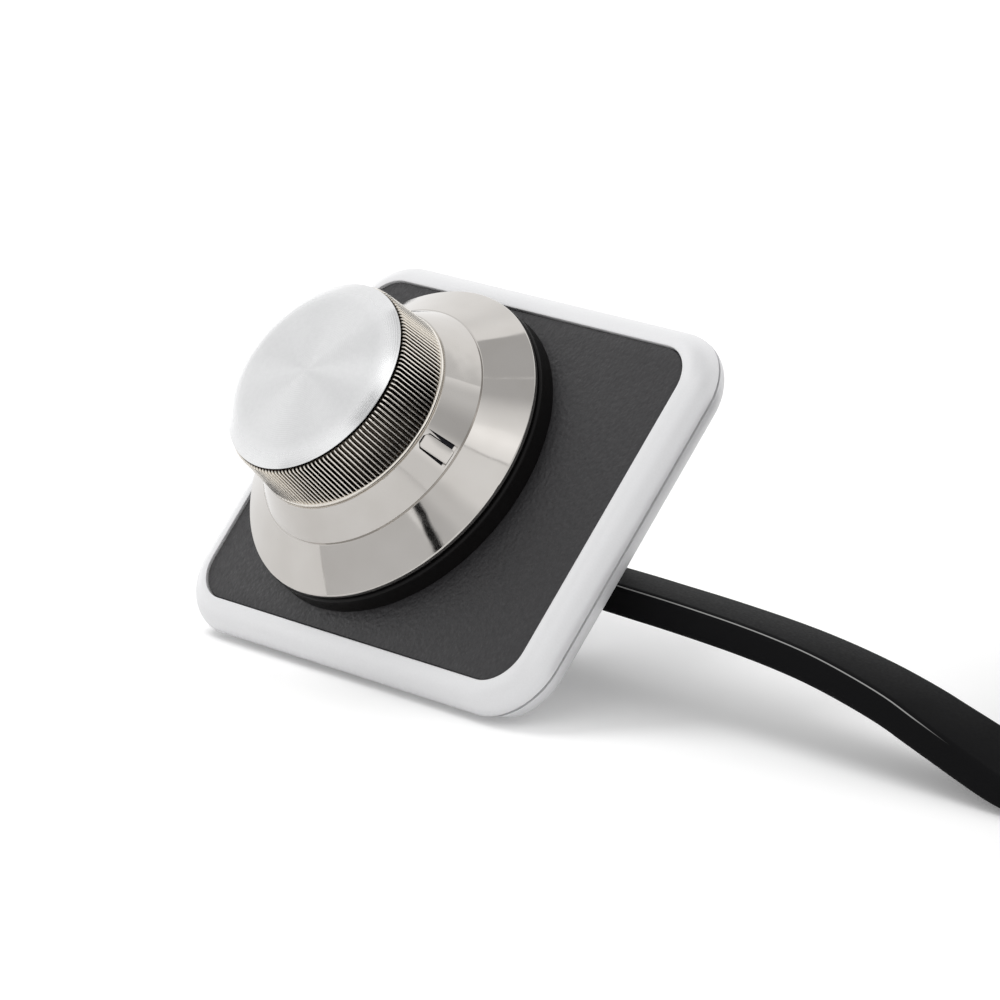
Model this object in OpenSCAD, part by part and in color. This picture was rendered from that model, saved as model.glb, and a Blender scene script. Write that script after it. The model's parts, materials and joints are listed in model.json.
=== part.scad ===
// Remote bass level control: a turning knob on a small inclined desk or dash plate.
// Millimetres. +X runs along the plate's lower edge, +Y to the back, +Z up.
// The origin lies on the supporting surface, straight below the middle of the panel.

/* [Plate] */
// Angle between the plate and the surface that it stands on
tilt = 50; // [42:1:58]
// Width of the dark panel
panel_w = 38.4; // [36:0.2:44]
// Height of the dark panel
panel_h = 30.2; // [30:0.2:36]
// Corner radius of the panel
panel_corner_r = 3.2; // [2.6:0.1:5]
// Thickness of the panel
panel_t = 0.8; // [0.5:0.1:1]
// Thickness of the adhesive sheet under the panel
adhesive_t = 0.2; // [0.1:0.05:0.3]
// Width of the frame around the panel
border = 2.1; // [2.1:0.1:4]
// Radius of the frame's rounded edge, half the plate's thickness
rim_r = 2.1; // [2:0.1:2.6]
// How far the panel's face lies below the frame's crest
panel_recess = 0.16; // [0.05:0.01:0.3]
// Height of the seam line between the two halves of the frame
seam_gap = 0.12; // [0.05:0.01:0.2]
// Depth of the seam line
seam_depth = 0.5; // [0.3:0.05:0.8]

/* [Knob] */
// Distance of the knob's axis to the left of the panel's middle
knob_left = 4.5; // [2:0.1:4.8]
// Distance of the knob's axis above the panel's middle
knob_up = 0.7; // [0:0.1:0.8]
// Radius of the flared skirt
skirt_r = 14; // [12.6:0.1:14.1]
// Height of the skirt's underside above the panel
skirt_z = 1.95; // [1.9:0.05:2.4]
// Height of the skirt's upright lip
lip_h = 0.35; // [0.1:0.05:0.4]
// Radius where the skirt meets the barrel
junction_r = 10.8; // [10:0.1:11.6]
// Height where the skirt meets the barrel
junction_z = 4.7; // [4.2:0.1:5.2]
// Depth of the fine line turned at the junction
junction_step = 0.12; // [0.05:0.01:0.2]
// Radius at the barrel's front end
barrel_r = 9.05; // [8.9:0.05:9.6]
// Height of the barrel's front end above the panel
barrel_z = 7.3; // [6.8:0.1:7.8]
// Radius of the knurl at its back end
knurl_back_r = 8.95; // [8.65:0.05:9]
// Radius of the knurl at its front end
knurl_front_r = 8.6; // [8.3:0.05:8.6]
// Length of the knurled ring
knurl_len = 4.8; // [4:0.1:6]
// Number of ridges round the knurl
knurl_count = 144; // [96:4:180]
// Depth of the grooves between the ridges
knurl_depth = 0.22; // [0.1:0.01:0.3]
// Radius of the knob's bore that the knurled ring sits round
spigot_r = 7.4; // [7:0.1:7.6]
// Thickness of the dark adhesive disc under the cap
cap_gap = 0.16; // [0.1:0.01:0.25]
// Radius of the cap
cap_r = 8.4; // [7.9:0.05:8.5]
// Height of the cap's upright edge
cap_edge_h = 0.1; // [0.1:0.05:0.4]
// Width of the cap's bevelled band
cap_band_w = 1.35; // [0.5:0.05:1.6]
// Rise of the cap's bevelled band
cap_band_h = 0.45; // [0.2:0.05:0.6]
// Rise of the cap's dome above the band
cap_dome_h = 0.45; // [0.2:0.05:0.9]
// Width of the index bar
index_w = 1.25; // [0.8:0.05:1.6]
// Height of the index bar above the barrel
index_h = 0.12; // [0.1:0.01:0.4]
// Direction in which the index bar points, counter-clockwise from +X on the plate
index_az = -5; // [-50:1:230]
// Radius of the black ring under the skirt
ring_r = 14.1; // [13.6:0.1:14.1]
// Height of the black ring
ring_h = 1.65; // [1.2:0.05:1.65]
// Radius of the hole in the black ring
ring_hole_r = 7; // [6.6:0.1:8]
// Radius of the pocket under the knob, round the nut
pocket_r = 7.2; // [6.6:0.1:7.8]
// Height of the pocket's roof above the panel
pocket_z = 6; // [5.8:0.1:6.4]

/* [Potentiometer] */
// Radius of the turning shaft
shaft_r = 3; // [2.8:0.05:3.1]
// Height of the shaft's end above the panel
shaft_top = 11; // [10:0.1:11.2]
// Distance from the shaft's axis to its flat
shaft_flat = 1.5; // [1.3:0.05:2.4]
// Height above the panel where the flat begins
shaft_flat_z = 5; // [4.6:0.1:7]
// Running clearance round the shaft
shaft_clear = 0.05; // [0.02:0.01:0.08]
// Outer radius of the threaded bushing
bushing_r = 3.5; // [3.4:0.05:3.8]
// Height of the bushing's end above the panel
bushing_top = 4.2; // [3:0.1:4.4]
// Side of the potentiometer's square housing
pot_side = 9.8; // [9.4:0.1:10.2]
// Thickness of the housing's metal front plate
pot_plate_t = 0.8; // [0.6:0.1:1]
// Depth of the housing behind its front plate
pot_depth = 4.7; // [4.4:0.1:4.8]
// Wall of the housing
pot_wall = 0.8; // [0.5:0.1:0.9]
// Distance across the flats of the nut
nut_af = 10; // [9.4:0.1:11]
// Thickness of the nut
nut_h = 2; // [1.6:0.1:2.2]
// Radius of the washer
washer_r = 5.5; // [5:0.1:6]
// Thickness of the washer
washer_t = 0.4; // [0.2:0.05:0.5]
// Outer radius of the knob's hub insert
hub_r = 4.4; // [4.2:0.05:4.7]
// Wall of the spring clip round the hub insert
clip_t = 0.5; // [0.3:0.05:0.7]
// Height of the spring clip
clip_h = 0.8; // [0.4:0.1:0.8]
// Thickness of the resistive track
track_t = 0.3; // [0.2:0.05:0.4]
// Thickness of the wiper disc
wiper_t = 1; // [0.6:0.1:1.2]
// Width of a terminal pin
pin_w = 0.7; // [0.5:0.05:0.8]
// Distance between the terminal pins
pin_pitch = 2.5; // [2.2:0.1:2.8]

/* [Rear] */
// Width of the rear housing
pod_w = 21; // [20.6:0.1:22]
// Depth of the rear housing behind the panel's face
pod_depth = 15; // [14.6:0.1:15.6]
// Distance from the panel's upper edge down to the housing's top
pod_top_inset = 3.1; // [2.7:0.1:3.5]
// Distance from the panel's lower edge up to the housing's bottom
pod_low_inset = 2.1; // [1.7:0.1:2.7]
// Radius of the housing's corners
pod_corner_r = 2; // [1:0.1:2.6]
// Wall of the rear housing
pod_wall = 1.5; // [1.2:0.1:1.6]
// Thickness of the housing's back
pod_back_t = 1; // [0.8:0.1:1.2]
// Wall of the rear half of the frame
shell_t = 1; // [0.8:0.1:1.2]
// Depth of the inner space's lower end below the panel's middle
well_bottom = 6; // [5.6:0.1:6.1]
// Radius of a screw's shank
screw_r = 0.9; // [0.8:0.05:1]
// Radius of a screw's head
screw_head_r = 1.7; // [1.4:0.05:1.8]
// Height of a screw's countersunk head
screw_head_h = 0.75; // [0.5:0.05:0.8]
// Radius of the four bosses
boss_r = 2; // [1.8:0.1:2.2]
// Distance of the bosses from the panel's sides
boss_inset = 3.3; // [3:0.1:4]
// Thickness of the mounting pad under the foot
pad_t = 0.8; // [0.6:0.1:1.2]
// Distance from the foot's edges to the pad's
pad_inset = 0.5; // [0.3:0.1:0.8]
// Radius of the two pilot holes in the foot
foot_hole_r = 1.2; // [1:0.05:1.3]
// Depth of the two pilot holes in the foot
foot_hole_depth = 4.5; // [3:0.1:4.6]
// Distance from the foot's sides to the two pilot holes
foot_hole_inset = 4.5; // [4.3:0.1:6]
// Distance from the foot's front edge to the two pilot holes
foot_hole_reach = 3.4; // [3.2:0.1:3.8]
// Thickness of the circuit board
board_t = 1.2; // [0.8:0.1:1.4]
// Distance from the circuit board to the housing's right inner wall
board_side_gap = 3.2; // [3.1:0.1:4.2]
// Distance from the circuit board to the lower end of the housing's inner space
board_low_gap = 1.7; // [1.5:0.1:2.3]

/* [Cord] */
// Width of the flat cord
cord_w = 6.6; // [6.2:0.1:7]
// Thickness of the flat cord
cord_t = 2.5; // [2.3:0.1:2.7]
// Wall of the strain relief round the cord
relief_wall = 0.7; // [0.5:0.05:0.8]
// Length of the strain relief outside the housing
relief_len = 4; // [3:0.5:6]
// Thickness of the strain relief's two flanges
flange_t = 0.8; // [0.6:0.1:1]
// How far the flanges stand out round the strain relief's neck
flange_out = 0.3; // [0.2:0.05:0.35]
// Length of the modular plug
plug_len = 12.3; // [11:0.1:14]
// Width of the modular plug
plug_w = 9.6; // [9:0.1:10]
// Height of the modular plug
plug_h = 6.6; // [6:0.1:7]
// Distance between the plug's contacts
contact_pitch = 1.02; // [0.9:0.01:1.1]
// Thickness of the strap round the coil
tie_t = 0.7; // [0.5:0.1:0.8]
// Width of the strap round the coil
tie_w = 7; // [4:0.5:8]

/* [Hidden] */

$fn = 96;

// Overrun of every cut past the face that it opens
over = 0.5;
// Clearance between pieces that are pressed or set into each other
seat = 0.03;
// Clearance between the knurled ring or the panel and what holds it
fit = 0.05;
// Height between the pot's back and the circuit board
board_gap = 0.1;
// Distance from the circuit board to the housing's inner walls
board_inset = 0.4;
// Corner radius of the space inside the housing
well_corner_r = 0.5;
// Clearance round a terminal pin in the circuit board
pin_clear = 0.1;
// Thickness of a terminal pin
pin_t = 0.4;
// How far the pins stand out behind the circuit board
pin_out = 0.6;
// Distance of the pin row from the housing's lower side
pin_inset = 1.2;
// Clearance under the shaft and over the track
rotor_gap = 0.3;
// Width of the resistive track
track_w = 0.9;
// Angle that the resistive track covers
track_angle = 300;
// Width of the wiper's contact finger
finger_w = 1;
// Clearance between the wiper's finger and the track
finger_gap = 0.05;
// Depth of the hub insert's end inside the pocket
hub_drop = 1;
// Clearance between the hub insert and the shaft
hub_clear = 0.03;
// Opening of the spring clip
clip_slot = 2;
// Wall over the shaft's end inside the knob
roof_t = 0.6;
// Width and depth of a screw's slot
slot_w = 0.5;
slot_d = 0.35;
// Clearance of the countersinks and of the screws in their holes
screw_clear = 0.05;
// Distance from a screw's tip to the bezel's front
tip_gap = 0.2;
// Clearance round the mounting pad's two holes
pad_hole_clear = 0.6;
// Radius of the strain relief's rounded corners
relief_round = 1.2;
// How much the strain relief's small end is thinner than its root
relief_taper = 0.35;
// Radius and number of the cord's conductors
wire_r = 0.3;
wire_count = 6;
// Distance between two conductors where they leave the strain relief and on the board
wire_pitch = 0.95;
pad_pitch = 1.1;
// Distance of the row of solder pads below the panel's middle
pad_middle = 1.2;
// Straight stretch of the conductors behind the strain relief
wire_straight = 1;
// Bevel along the cord's edges
cord_bevel = 0.55;
coil_bevel = 0.8;
// Thickness, width, length and rise of the plug's latch
latch_t = 0.9;
latch_w = 3.2;
latch_len_share = 0.8;
latch_rise = 2;
// Distance of the plug's contacts from its nose, and their size
plug_wall = 0.9;
contact_t = 0.35;
contact_h = 2.2;
contact_len = 4.6;
// How far the contacts stay inside the plug's underside
contact_inset = 0.1;

// Heights in the plate's own frame: x along the plate, y up it, z towards the viewer,
// with zero in the middle of the panel's face.
crest_z = panel_recess;
seam_z = crest_z - rim_r;
back_z = seam_z - rim_r;
pocket_floor = -panel_t - adhesive_t;
frame_w = panel_w + 2 * border;
frame_h = panel_h + 2 * border;
frame_corner_r = panel_corner_r + border;
corner_x = frame_w / 2 - frame_corner_r;
corner_y = frame_h / 2 - frame_corner_r;
shell_floor = back_z + shell_t;
boss_x = panel_w / 2 - boss_inset;
boss_y = panel_h / 2 - boss_inset;
knurl_top = barrel_z + knurl_len;
cap_z = knurl_top + cap_gap;
pot_back = seam_z - pot_plate_t - pot_depth;
board_z = pot_back - board_gap;
pod_top = panel_h / 2 - pod_top_inset;
pod_bottom = panel_h / 2 - pod_low_inset;
pod_right = pod_w / 2 - knob_left;
pod_in_w = pod_w - 2 * pod_wall;
foot_hole_pitch = pod_w - 2 * foot_hole_inset;
well_back = pod_back_t - pod_depth;
plate_lift = (frame_h / 2 - rim_r) * sin(tilt) - seam_z * cos(tilt) + rim_r;

// The foot's face, cut level: its front and back edges, measured along +Y
function row_y(v, n) = v * cos(tilt) - n * sin(tilt);
function floor_v(n, z) = (z - plate_lift - n * cos(tilt)) / sin(tilt);
foot_back = row_y(floor_v(-pod_depth, pad_t), -pod_depth);
foot_front_n = (pad_t - plate_lift + pod_bottom * sin(tilt)) / cos(tilt);
foot_front = row_y(-pod_bottom, foot_front_n);

// Where the cord leaves the housing: behind the panel's middle, above the surface
exit_back = 6.1;
exit_up = 7.4;
// The cord's flat side at the exit, turned about the cord from level
exit_roll = -8;
// The stretch that hangs from the strain relief and lies along the surface, then turns
// on edge to enter the coil: x, y, z of its middle and the turn of its flat side
lead_start = pod_right + flange_t + relief_len;
lead_route = [
    [lead_start, 6.1, 7.4, -8], [15, 6.1, 7.4, -8], [19, 6.1, 7.35, -8], [23, 6.1, 7.3, -8],
    [27, 6.1, 7.2, -8], [31, 6.1, 7.05, -8], [35, 6.1, 6.8, -8], [39, 6.1, 6.4, -8],
    [43, 6.1, 5.8, -7], [47, 6.1, 5, -6], [50, 6.1, 4.2, -4], [53, 6.1, 3.4, -2],
    [56, 6.1, 2.6, 0], [59, 6.1, 2, 4], [62, 6.1, 2.1, 16], [65, 6.1, 2.65, 34],
    [68, 6.1, 3.3, 54], [71, 6.1, 3.85, 72], [74, 6.1, 4.15, 85], [77, 6.1, 4.2, 90],
    [84, 6.1, 4.2, 90]
];
// The end that comes off the coil and comes down flat to the plug
tail_route = [
    [84, 108.1, 11.3, 90], [77, 108.1, 11.3, 90], [73, 108.1, 11.1, 84], [69, 108.1, 10.4, 66],
    [65, 108.1, 9.2, 44], [61, 108.1, 7.7, 24], [57, 107.8, 6.3, 10], [53, 107.1, 5, 2],
    [49, 106.2, 4, 0], [45, 105.4, 3.5, 0], [41, 104.9, 3.3, 0], [37, 104.8, 3.3, 0],
    [33, 104.8, 3.3, 0]
];
// The coil: the cord stands on edge, spirals in, climbs a layer and spirals out again
coil_turns = 11;
coil_rings = 24;
coil_gap = 0.5;
// Share of a turn in which the cord climbs to the upper layer
climb_share = 1 / 4;
coil_pitch = cord_t + coil_gap;
coil_step = cord_w + coil_gap;
coil_centre = [84, 57.1];
coil_out_r = 51;
coil_low_z = 4.2;
coil_turn_r = coil_out_r - (coil_turns + 1 / 2) * coil_pitch;

module frame_profile(half) {
    square([2 * (half - rim_r), 2 * rim_r], center = true);
    for (side = [-1, 1]) translate([side * (half - rim_r), 0]) circle(r = rim_r);
}

// The whole plate with its round edge
module frame_blank() {
    translate([0, 0, seam_z]) {
        rotate([90, 0, 90]) linear_extrude(2 * corner_x, center = true) frame_profile(frame_h / 2);
        rotate([90, 0, 0]) linear_extrude(2 * corner_y, center = true) frame_profile(frame_w / 2);
        for (c = [[1, 1, 0], [-1, 1, 90], [-1, -1, 180], [1, -1, 270]])
            translate([c[0] * corner_x, c[1] * corner_y, 0]) rotate([0, 0, c[2]])
                rotate_extrude(angle = 90) {
                    translate([0, -rim_r]) square([frame_corner_r - rim_r, 2 * rim_r]);
                    translate([frame_corner_r - rim_r, 0]) circle(r = rim_r);
                }
    }
}

module rounded_rect(w, h, r) {
    square([w - 2 * r, h], center = true);
    square([w, h - 2 * r], center = true);
    for (x = [-1, 1], y = [-1, 1]) translate([x * (w / 2 - r), y * (h / 2 - r)]) circle(r = r);
}

// A rounded slab from one height to another, as much smaller than the panel as inset says
module panel_slab(inset, from_z, to_z) {
    translate([0, 0, from_z]) linear_extrude(to_z - from_z)
        rounded_rect(panel_w - 2 * inset, panel_h - 2 * inset, panel_corner_r - inset);
}

module on_plate() {
    translate([0, 0, plate_lift]) rotate([tilt, 0, 0]) children();
}

module on_knob() {
    on_plate() translate([-knob_left, knob_up, 0]) children();
}

module at_bosses() {
    for (x = [-1, 1], y = [-1, 1]) translate([x * boss_x, y * boss_y, 0]) children();
}

// A ring or disc from one height to another
module collar(outer, inner, from_z, to_z) {
    translate([0, 0, from_z]) difference() {
        cylinder(r = outer, h = to_z - from_z);
        if (inner > 0) translate([0, 0, -over]) cylinder(r = inner, h = to_z - from_z + 2 * over);
    }
}

module front_bezel() {
    color("gainsboro") on_plate() difference() {
        union() {
            intersection() {
                frame_blank();
                translate([-frame_w, -frame_h, seam_z]) cube([2 * frame_w, 2 * frame_h, 2 * rim_r]);
            }
            at_bosses() collar(boss_r, 0, shell_floor, seam_z);
        }
        panel_slab(0, pocket_floor, crest_z + over);
        translate([-knob_left, knob_up, seam_z - over])
            cylinder(r = bushing_r + fit, h = rim_r + 2 * over);
        at_bosses() translate([0, 0, shell_floor - over])
            cylinder(r = screw_r + screw_clear / 2, h = seam_z - shell_floor + over + rim_r / 3);
    }
}

module face_panel() {
    color("dimgray") on_plate() difference() {
        panel_slab(fit, -panel_t, 0);
        translate([-knob_left, knob_up, -panel_t - over])
            cylinder(r = bushing_r + fit, h = panel_t + 2 * over);
    }
}

module panel_adhesive() {
    color("black") on_plate() difference() {
        panel_slab(2 * fit, pocket_floor, -panel_t);
        translate([-knob_left, knob_up, pocket_floor - over])
            cylinder(r = bushing_r + 2 * fit, h = adhesive_t + 2 * over);
    }
}

module base_ring() {
    color("black") on_knob() collar(ring_r, ring_hole_r, 0, ring_h);
}

module pod_outline(grow) {
    translate([-knob_left, (pod_top - pod_bottom) / 2])
        rounded_rect(pod_w + 2 * grow, pod_top + pod_bottom + 2 * grow, pod_corner_r + grow);
}

module rear_shell() {
    well_h = pod_top - pod_wall + well_bottom;
    color("lightgray") difference() {
        on_plate() difference() {
            union() {
                intersection() {
                    frame_blank();
                    translate([-frame_w, -frame_h, back_z - over])
                        cube([2 * frame_w, 2 * frame_h, rim_r + over - seam_gap]);
                }
                panel_slab(seam_depth - border, back_z + rim_r / 2, seam_z);
                translate([0, 0, -pod_depth]) linear_extrude(pod_depth + back_z + shell_t / 2)
                    pod_outline(0);
            }
            panel_slab(0, shell_floor, seam_z + over);
            translate([-knob_left, (pod_top - pod_wall - well_bottom) / 2, well_back])
                linear_extrude(pod_depth) rounded_rect(pod_in_w, well_h, well_corner_r);
            at_bosses() translate([0, 0, back_z]) {
                translate([0, 0, -over]) cylinder(r = screw_head_r + screw_clear, h = over);
                cylinder(r1 = screw_head_r + screw_clear, r2 = screw_r + screw_clear, h = screw_head_h);
                cylinder(r = screw_r + screw_clear, h = shell_t + over);
            }
        }
        translate([-frame_w, -frame_w, -frame_w + pad_t]) cube([2 * frame_w, 2 * frame_w, frame_w]);
        at_foot_holes() translate([0, 0, pad_t - over])
            cylinder(r = foot_hole_r, h = foot_hole_depth + over);
        at_exit() translate([0, 0, -pod_wall - over]) linear_extrude(pod_wall + 2 * over)
            relief_outline(fit);
    }
}

module at_foot_holes() {
    hole_y = foot_front + foot_hole_reach;
    for (side = [-1, 1]) translate([-knob_left + side * foot_hole_pitch / 2, hole_y, 0]) children();
}

// The housing's right side where the cord leaves it: x along the cord's flat side, z outwards
module at_exit() {
    translate([pod_right, exit_back, exit_up]) rotate([exit_roll, 0, 0]) rotate([90, 0, 90]) children();
}

module relief_outline(grow) {
    rounded_rect(cord_w + 2 * (relief_wall + grow), cord_t + 2 * (relief_wall + grow), relief_round + grow);
}

// Moulded onto the cord, with a flange on each side of the housing's wall
module strain_relief() {
    color("black") at_exit() {
        translate([0, 0, -pod_wall - flange_t]) linear_extrude(pod_wall + flange_t) relief_outline(0);
        translate([0, 0, -pod_wall - flange_t]) linear_extrude(flange_t) relief_outline(flange_out);
        linear_extrude(flange_t) relief_outline(flange_out);
        hull() {
            linear_extrude(flange_t) relief_outline(0);
            translate([0, 0, flange_t]) linear_extrude(relief_len) relief_outline(-relief_taper);
        }
    }
}

module shell_screws() {
    color("silver") on_plate() at_bosses() difference() {
        union() {
            translate([0, 0, back_z]) cylinder(r1 = screw_head_r, r2 = screw_r, h = screw_head_h);
            collar(screw_r, 0, back_z + screw_head_h / 2, pocket_floor - 2 * tip_gap);
        }
        translate([-screw_head_r - over, -slot_w / 2, back_z - over])
            cube([2 * (screw_head_r + over), slot_w, slot_d + over]);
    }
}

module mounting_pad() {
    color("dimgray") difference() {
        translate([-knob_left - pod_w / 2 + pod_corner_r, foot_front + pad_inset, 0])
            cube([pod_w - 2 * pod_corner_r, foot_back - foot_front - 2 * pad_inset, pad_t]);
        at_foot_holes() translate([0, 0, -over])
            cylinder(r = foot_hole_r + pad_hole_clear, h = pad_t + 2 * over);
    }
}

module pot_square(from_z, to_z) {
    translate([-pot_side / 2, -pot_side / 2, from_z]) cube([pot_side, pot_side, to_z - from_z]);
}

module pot_housing() {
    color("darkslategray") on_knob() difference() {
        pot_square(pot_back, seam_z - pot_plate_t);
        translate([0, 0, pot_back + pot_wall]) cylinder(r = pot_side / 2 - pot_wall, h = pot_depth);
    }
}

module pot_bushing() {
    color("goldenrod") on_knob() difference() {
        union() {
            pot_square(seam_z - pot_plate_t, seam_z);
            collar(bushing_r, 0, seam_z - pot_plate_t / 2, bushing_top);
        }
        translate([0, 0, seam_z - pot_plate_t - over])
            cylinder(r = shaft_r + shaft_clear, h = bushing_top - seam_z + pot_plate_t + 2 * over);
    }
}

module pot_washer() {
    color("silver") on_knob() collar(washer_r, bushing_r + fit, 0, washer_t);
}

module pot_nut() {
    color("silver") on_knob() difference() {
        translate([0, 0, washer_t]) cylinder(d = nut_af / cos(30), h = nut_h, $fn = 6);
        cylinder(r = bushing_r + seat, h = washer_t + nut_h + over);
    }
}

// The space that the shaft's missing segment leaves, from one height to another
module flat_cut(clear, from_z, to_z) {
    translate([shaft_flat + clear, -hub_r, from_z]) cube([hub_r, 2 * hub_r, to_z - from_z]);
}

module at_index() {
    rotate([0, 0, index_az]) children();
}

module pot_shaft() {
    color("silver") on_knob() difference() {
        collar(shaft_r, 0, pot_back + pot_wall + track_t + rotor_gap, shaft_top);
        at_index() flat_cut(0, shaft_flat_z, shaft_top + over);
    }
}

track_top = pot_back + pot_wall + track_t;
track_out_r = pot_side / 2 - pot_wall - fit;
wiper_z = track_top + rotor_gap + finger_w / 2;

module pot_track() {
    color("black") on_knob() translate([0, 0, track_top - track_t])
        rotate([0, 0, -90 + (360 - track_angle) / 2]) rotate_extrude(angle = track_angle)
            translate([track_out_r - track_w, 0]) square([track_w, track_t]);
}

module pot_wiper() {
    color("ivory") on_knob() {
        collar(track_out_r - rotor_gap, shaft_r, wiper_z, wiper_z + wiper_t);
        at_index() translate([track_out_r - track_w, -finger_w / 2, track_top + finger_gap])
            cube([track_w - rotor_gap, finger_w, wiper_z + wiper_t / 2 - track_top - finger_gap]);
    }
}

module at_pins() {
    for (i = [-1, 0, 1])
        translate([-knob_left + i * pin_pitch, knob_up - pot_side / 2 + pin_inset, 0]) children();
}

module pot_pins() {
    color("gold") on_plate() at_pins()
        translate([-pin_w / 2, -pin_t / 2, board_z - board_t - pin_out])
            cube([pin_w, pin_t, board_t + pin_out + board_gap]);
}

board_left = pod_right - pod_w + pod_wall + board_inset;
board_top = pod_top - pod_wall - board_inset;
board_w = pod_in_w - board_inset - board_side_gap;
board_h = board_top + well_bottom - board_low_gap;

module circuit_board() {
    color("darkgreen") on_plate() difference() {
        translate([board_left, board_top - board_h, board_z - board_t])
            cube([board_w, board_h, board_t]);
        at_pins() translate([0, 0, board_z - board_t - over])
            cylinder(r = pin_w / 2 + pin_clear, h = board_t + 2 * over);
    }
}

// One straight piece of a conductor
module wire(from, to) {
    hull() for (end = [from, to]) translate(end) sphere(r = wire_r, $fn = 6);
}

module lead_wires() {
    half = (wire_count - 1) / 2;
    out_x = pod_right - pod_wall - flange_t;
    inner_x = out_x - wire_straight;
    edge_x = board_left + board_w;
    pad_n = board_z - board_t - wire_r;
    color("crimson") on_plate() for (i = [0:wire_count - 1]) {
        y = exit_back + (i - half) * wire_pitch * cos(exit_roll);
        z = exit_up + (i - half) * wire_pitch * sin(exit_roll) - plate_lift;
        v = y * cos(tilt) + z * sin(tilt);
        n = z * cos(tilt) - y * sin(tilt);
        pad_v = (i - half) * pad_pitch - pad_middle;
        wire([out_x - wire_r, v, n], [inner_x, v, n]);
        wire([inner_x, v, n], [edge_x + 2 * wire_r, pad_v, pad_n]);
        wire([edge_x + 2 * wire_r, pad_v, pad_n], [edge_x - 2 * wire_r, pad_v, pad_n]);
    }
}

module hub_insert() {
    color("goldenrod") on_knob() difference() {
        collar(hub_r - seat, 0, pocket_z - hub_drop, shaft_top + roof_t / 2);
        difference() {
            translate([0, 0, pocket_z - hub_drop - over])
                cylinder(r = shaft_r + hub_clear, h = shaft_top - pocket_z + hub_drop + over + hub_clear);
            at_index() flat_cut(hub_clear, 0, shaft_top + over);
        }
    }
}

module spring_clip() {
    slot_angle = 2 * asin(clip_slot / 2 / hub_r);
    color("silver") on_knob() translate([0, 0, pocket_z - seat - clip_h])
        rotate([0, 0, slot_angle / 2]) rotate_extrude(angle = 360 - slot_angle)
            translate([hub_r, 0]) square([clip_t, clip_h]);
}

// The barrel's slope, which the index bar follows
barrel_back_r = junction_r - junction_step;
barrel_back_z = junction_z + junction_step;
barrel_lean = atan2(barrel_back_r - barrel_r, barrel_z - barrel_back_z);
barrel_len = norm([barrel_back_r - barrel_r, barrel_z - barrel_back_z]);

// The index bar, let into the barrel and round at its front end
module index_shape(clear) {
    rotate([0, 0, index_az]) translate([barrel_back_r, 0, barrel_back_z]) rotate([0, -barrel_lean, 0])
        translate([-index_h - clear, 0, 0]) rotate([0, 90, 0]) linear_extrude(2 * (index_h + clear)) {
            translate([-barrel_len + index_w / 2 + index_h, 0]) circle(d = index_w + 2 * clear);
            translate([-barrel_len + index_w / 2 + index_h, -index_w / 2 - clear])
                square([barrel_len - index_w / 2 - 2 * index_h + clear, index_w + 2 * clear]);
        }
}

module index_bar() {
    color("gainsboro") on_knob() index_shape(0);
}

module knob_body() {
    color("lightgray") on_knob() difference() {
        rotate_extrude() polygon([
            [pocket_r, skirt_z], [skirt_r, skirt_z], [skirt_r, skirt_z + lip_h],
            [junction_r, junction_z], [barrel_back_r, junction_z], [barrel_back_r, barrel_back_z],
            [barrel_r, barrel_z], [spigot_r, barrel_z], [spigot_r, knurl_top],
            [0, knurl_top], [0, pocket_z], [pocket_r, pocket_z]
        ]);
        translate([0, 0, pocket_z - over])
            cylinder(r = hub_r, h = shaft_top + roof_t - pocket_z + over);
        index_shape(seat);
    }
}

// One ridge and one groove of the knurl, as angles in shares of a ridge's pitch
ridge_shares = [[0, 0], [0.12, 1], [0.4, 1], [0.52, 0]];

module knurl_outline() {
    polygon([for (i = [0:knurl_count - 1], s = ridge_shares)
        let (a = 360 * (i + s[0]) / knurl_count, r = knurl_back_r - knurl_depth * (1 - s[1]))
        [r * cos(a), r * sin(a)]]);
}

module knurled_ring() {
    color("silver") on_knob() difference() {
        translate([0, 0, barrel_z])
            linear_extrude(knurl_len, scale = knurl_front_r / knurl_back_r) knurl_outline();
        translate([0, 0, barrel_z - over]) cylinder(r = spigot_r + seat, h = knurl_len + 2 * over);
    }
}

module cap_adhesive() {
    color("black") on_knob() collar(cap_r - cap_band_w / 2, 0, knurl_top, cap_z);
}

// How far the cap's band has risen at a share of its width, steepest at the edge
function band_lift(share) = share * (1.5 - share / 2);

module knob_cap() {
    flat_r = cap_r - cap_band_w;
    band_z = cap_z + cap_edge_h + cap_band_h;
    dome_r = (flat_r * flat_r + cap_dome_h * cap_dome_h) / 2 / cap_dome_h;
    dome_angle = asin(flat_r / dome_r);
    steps = 16;
    color("whitesmoke") on_knob() rotate_extrude() polygon(concat(
        [[0, cap_z], [cap_r, cap_z], [cap_r, cap_z + cap_edge_h]],
        [for (i = [1:4]) let (share = i / 5)
            [cap_r - cap_band_w * share, cap_z + cap_edge_h + cap_band_h * band_lift(share)]],
        [for (i = [steps:-1:0]) let (a = dome_angle * i / steps)
            [dome_r * sin(a), band_z + cap_dome_h - dome_r * (1 - cos(a))]]
    ));
}

// Sweeping the flat cord along a route of x, y, z and the turn of its flat side
function unit(v) = v / norm(v);
function place(p) = [p[0], p[1], p[2]];
function ahead(route, i) = unit(
    place(route[min(i + 1, len(route) - 1)]) - place(route[max(i - 1, 0)]));
function level(t) = unit([-t[1], t[0], 0]);
function ring(p, t, roll, outline) = let (s = level(t), u = cross(t, s))
    [for (q = outline) place(p) + (q[0] * cos(roll) - q[1] * sin(roll)) * s
        + (q[0] * sin(roll) + q[1] * cos(roll)) * u];
function flatten(list) = [for (row = list) each row];
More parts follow.
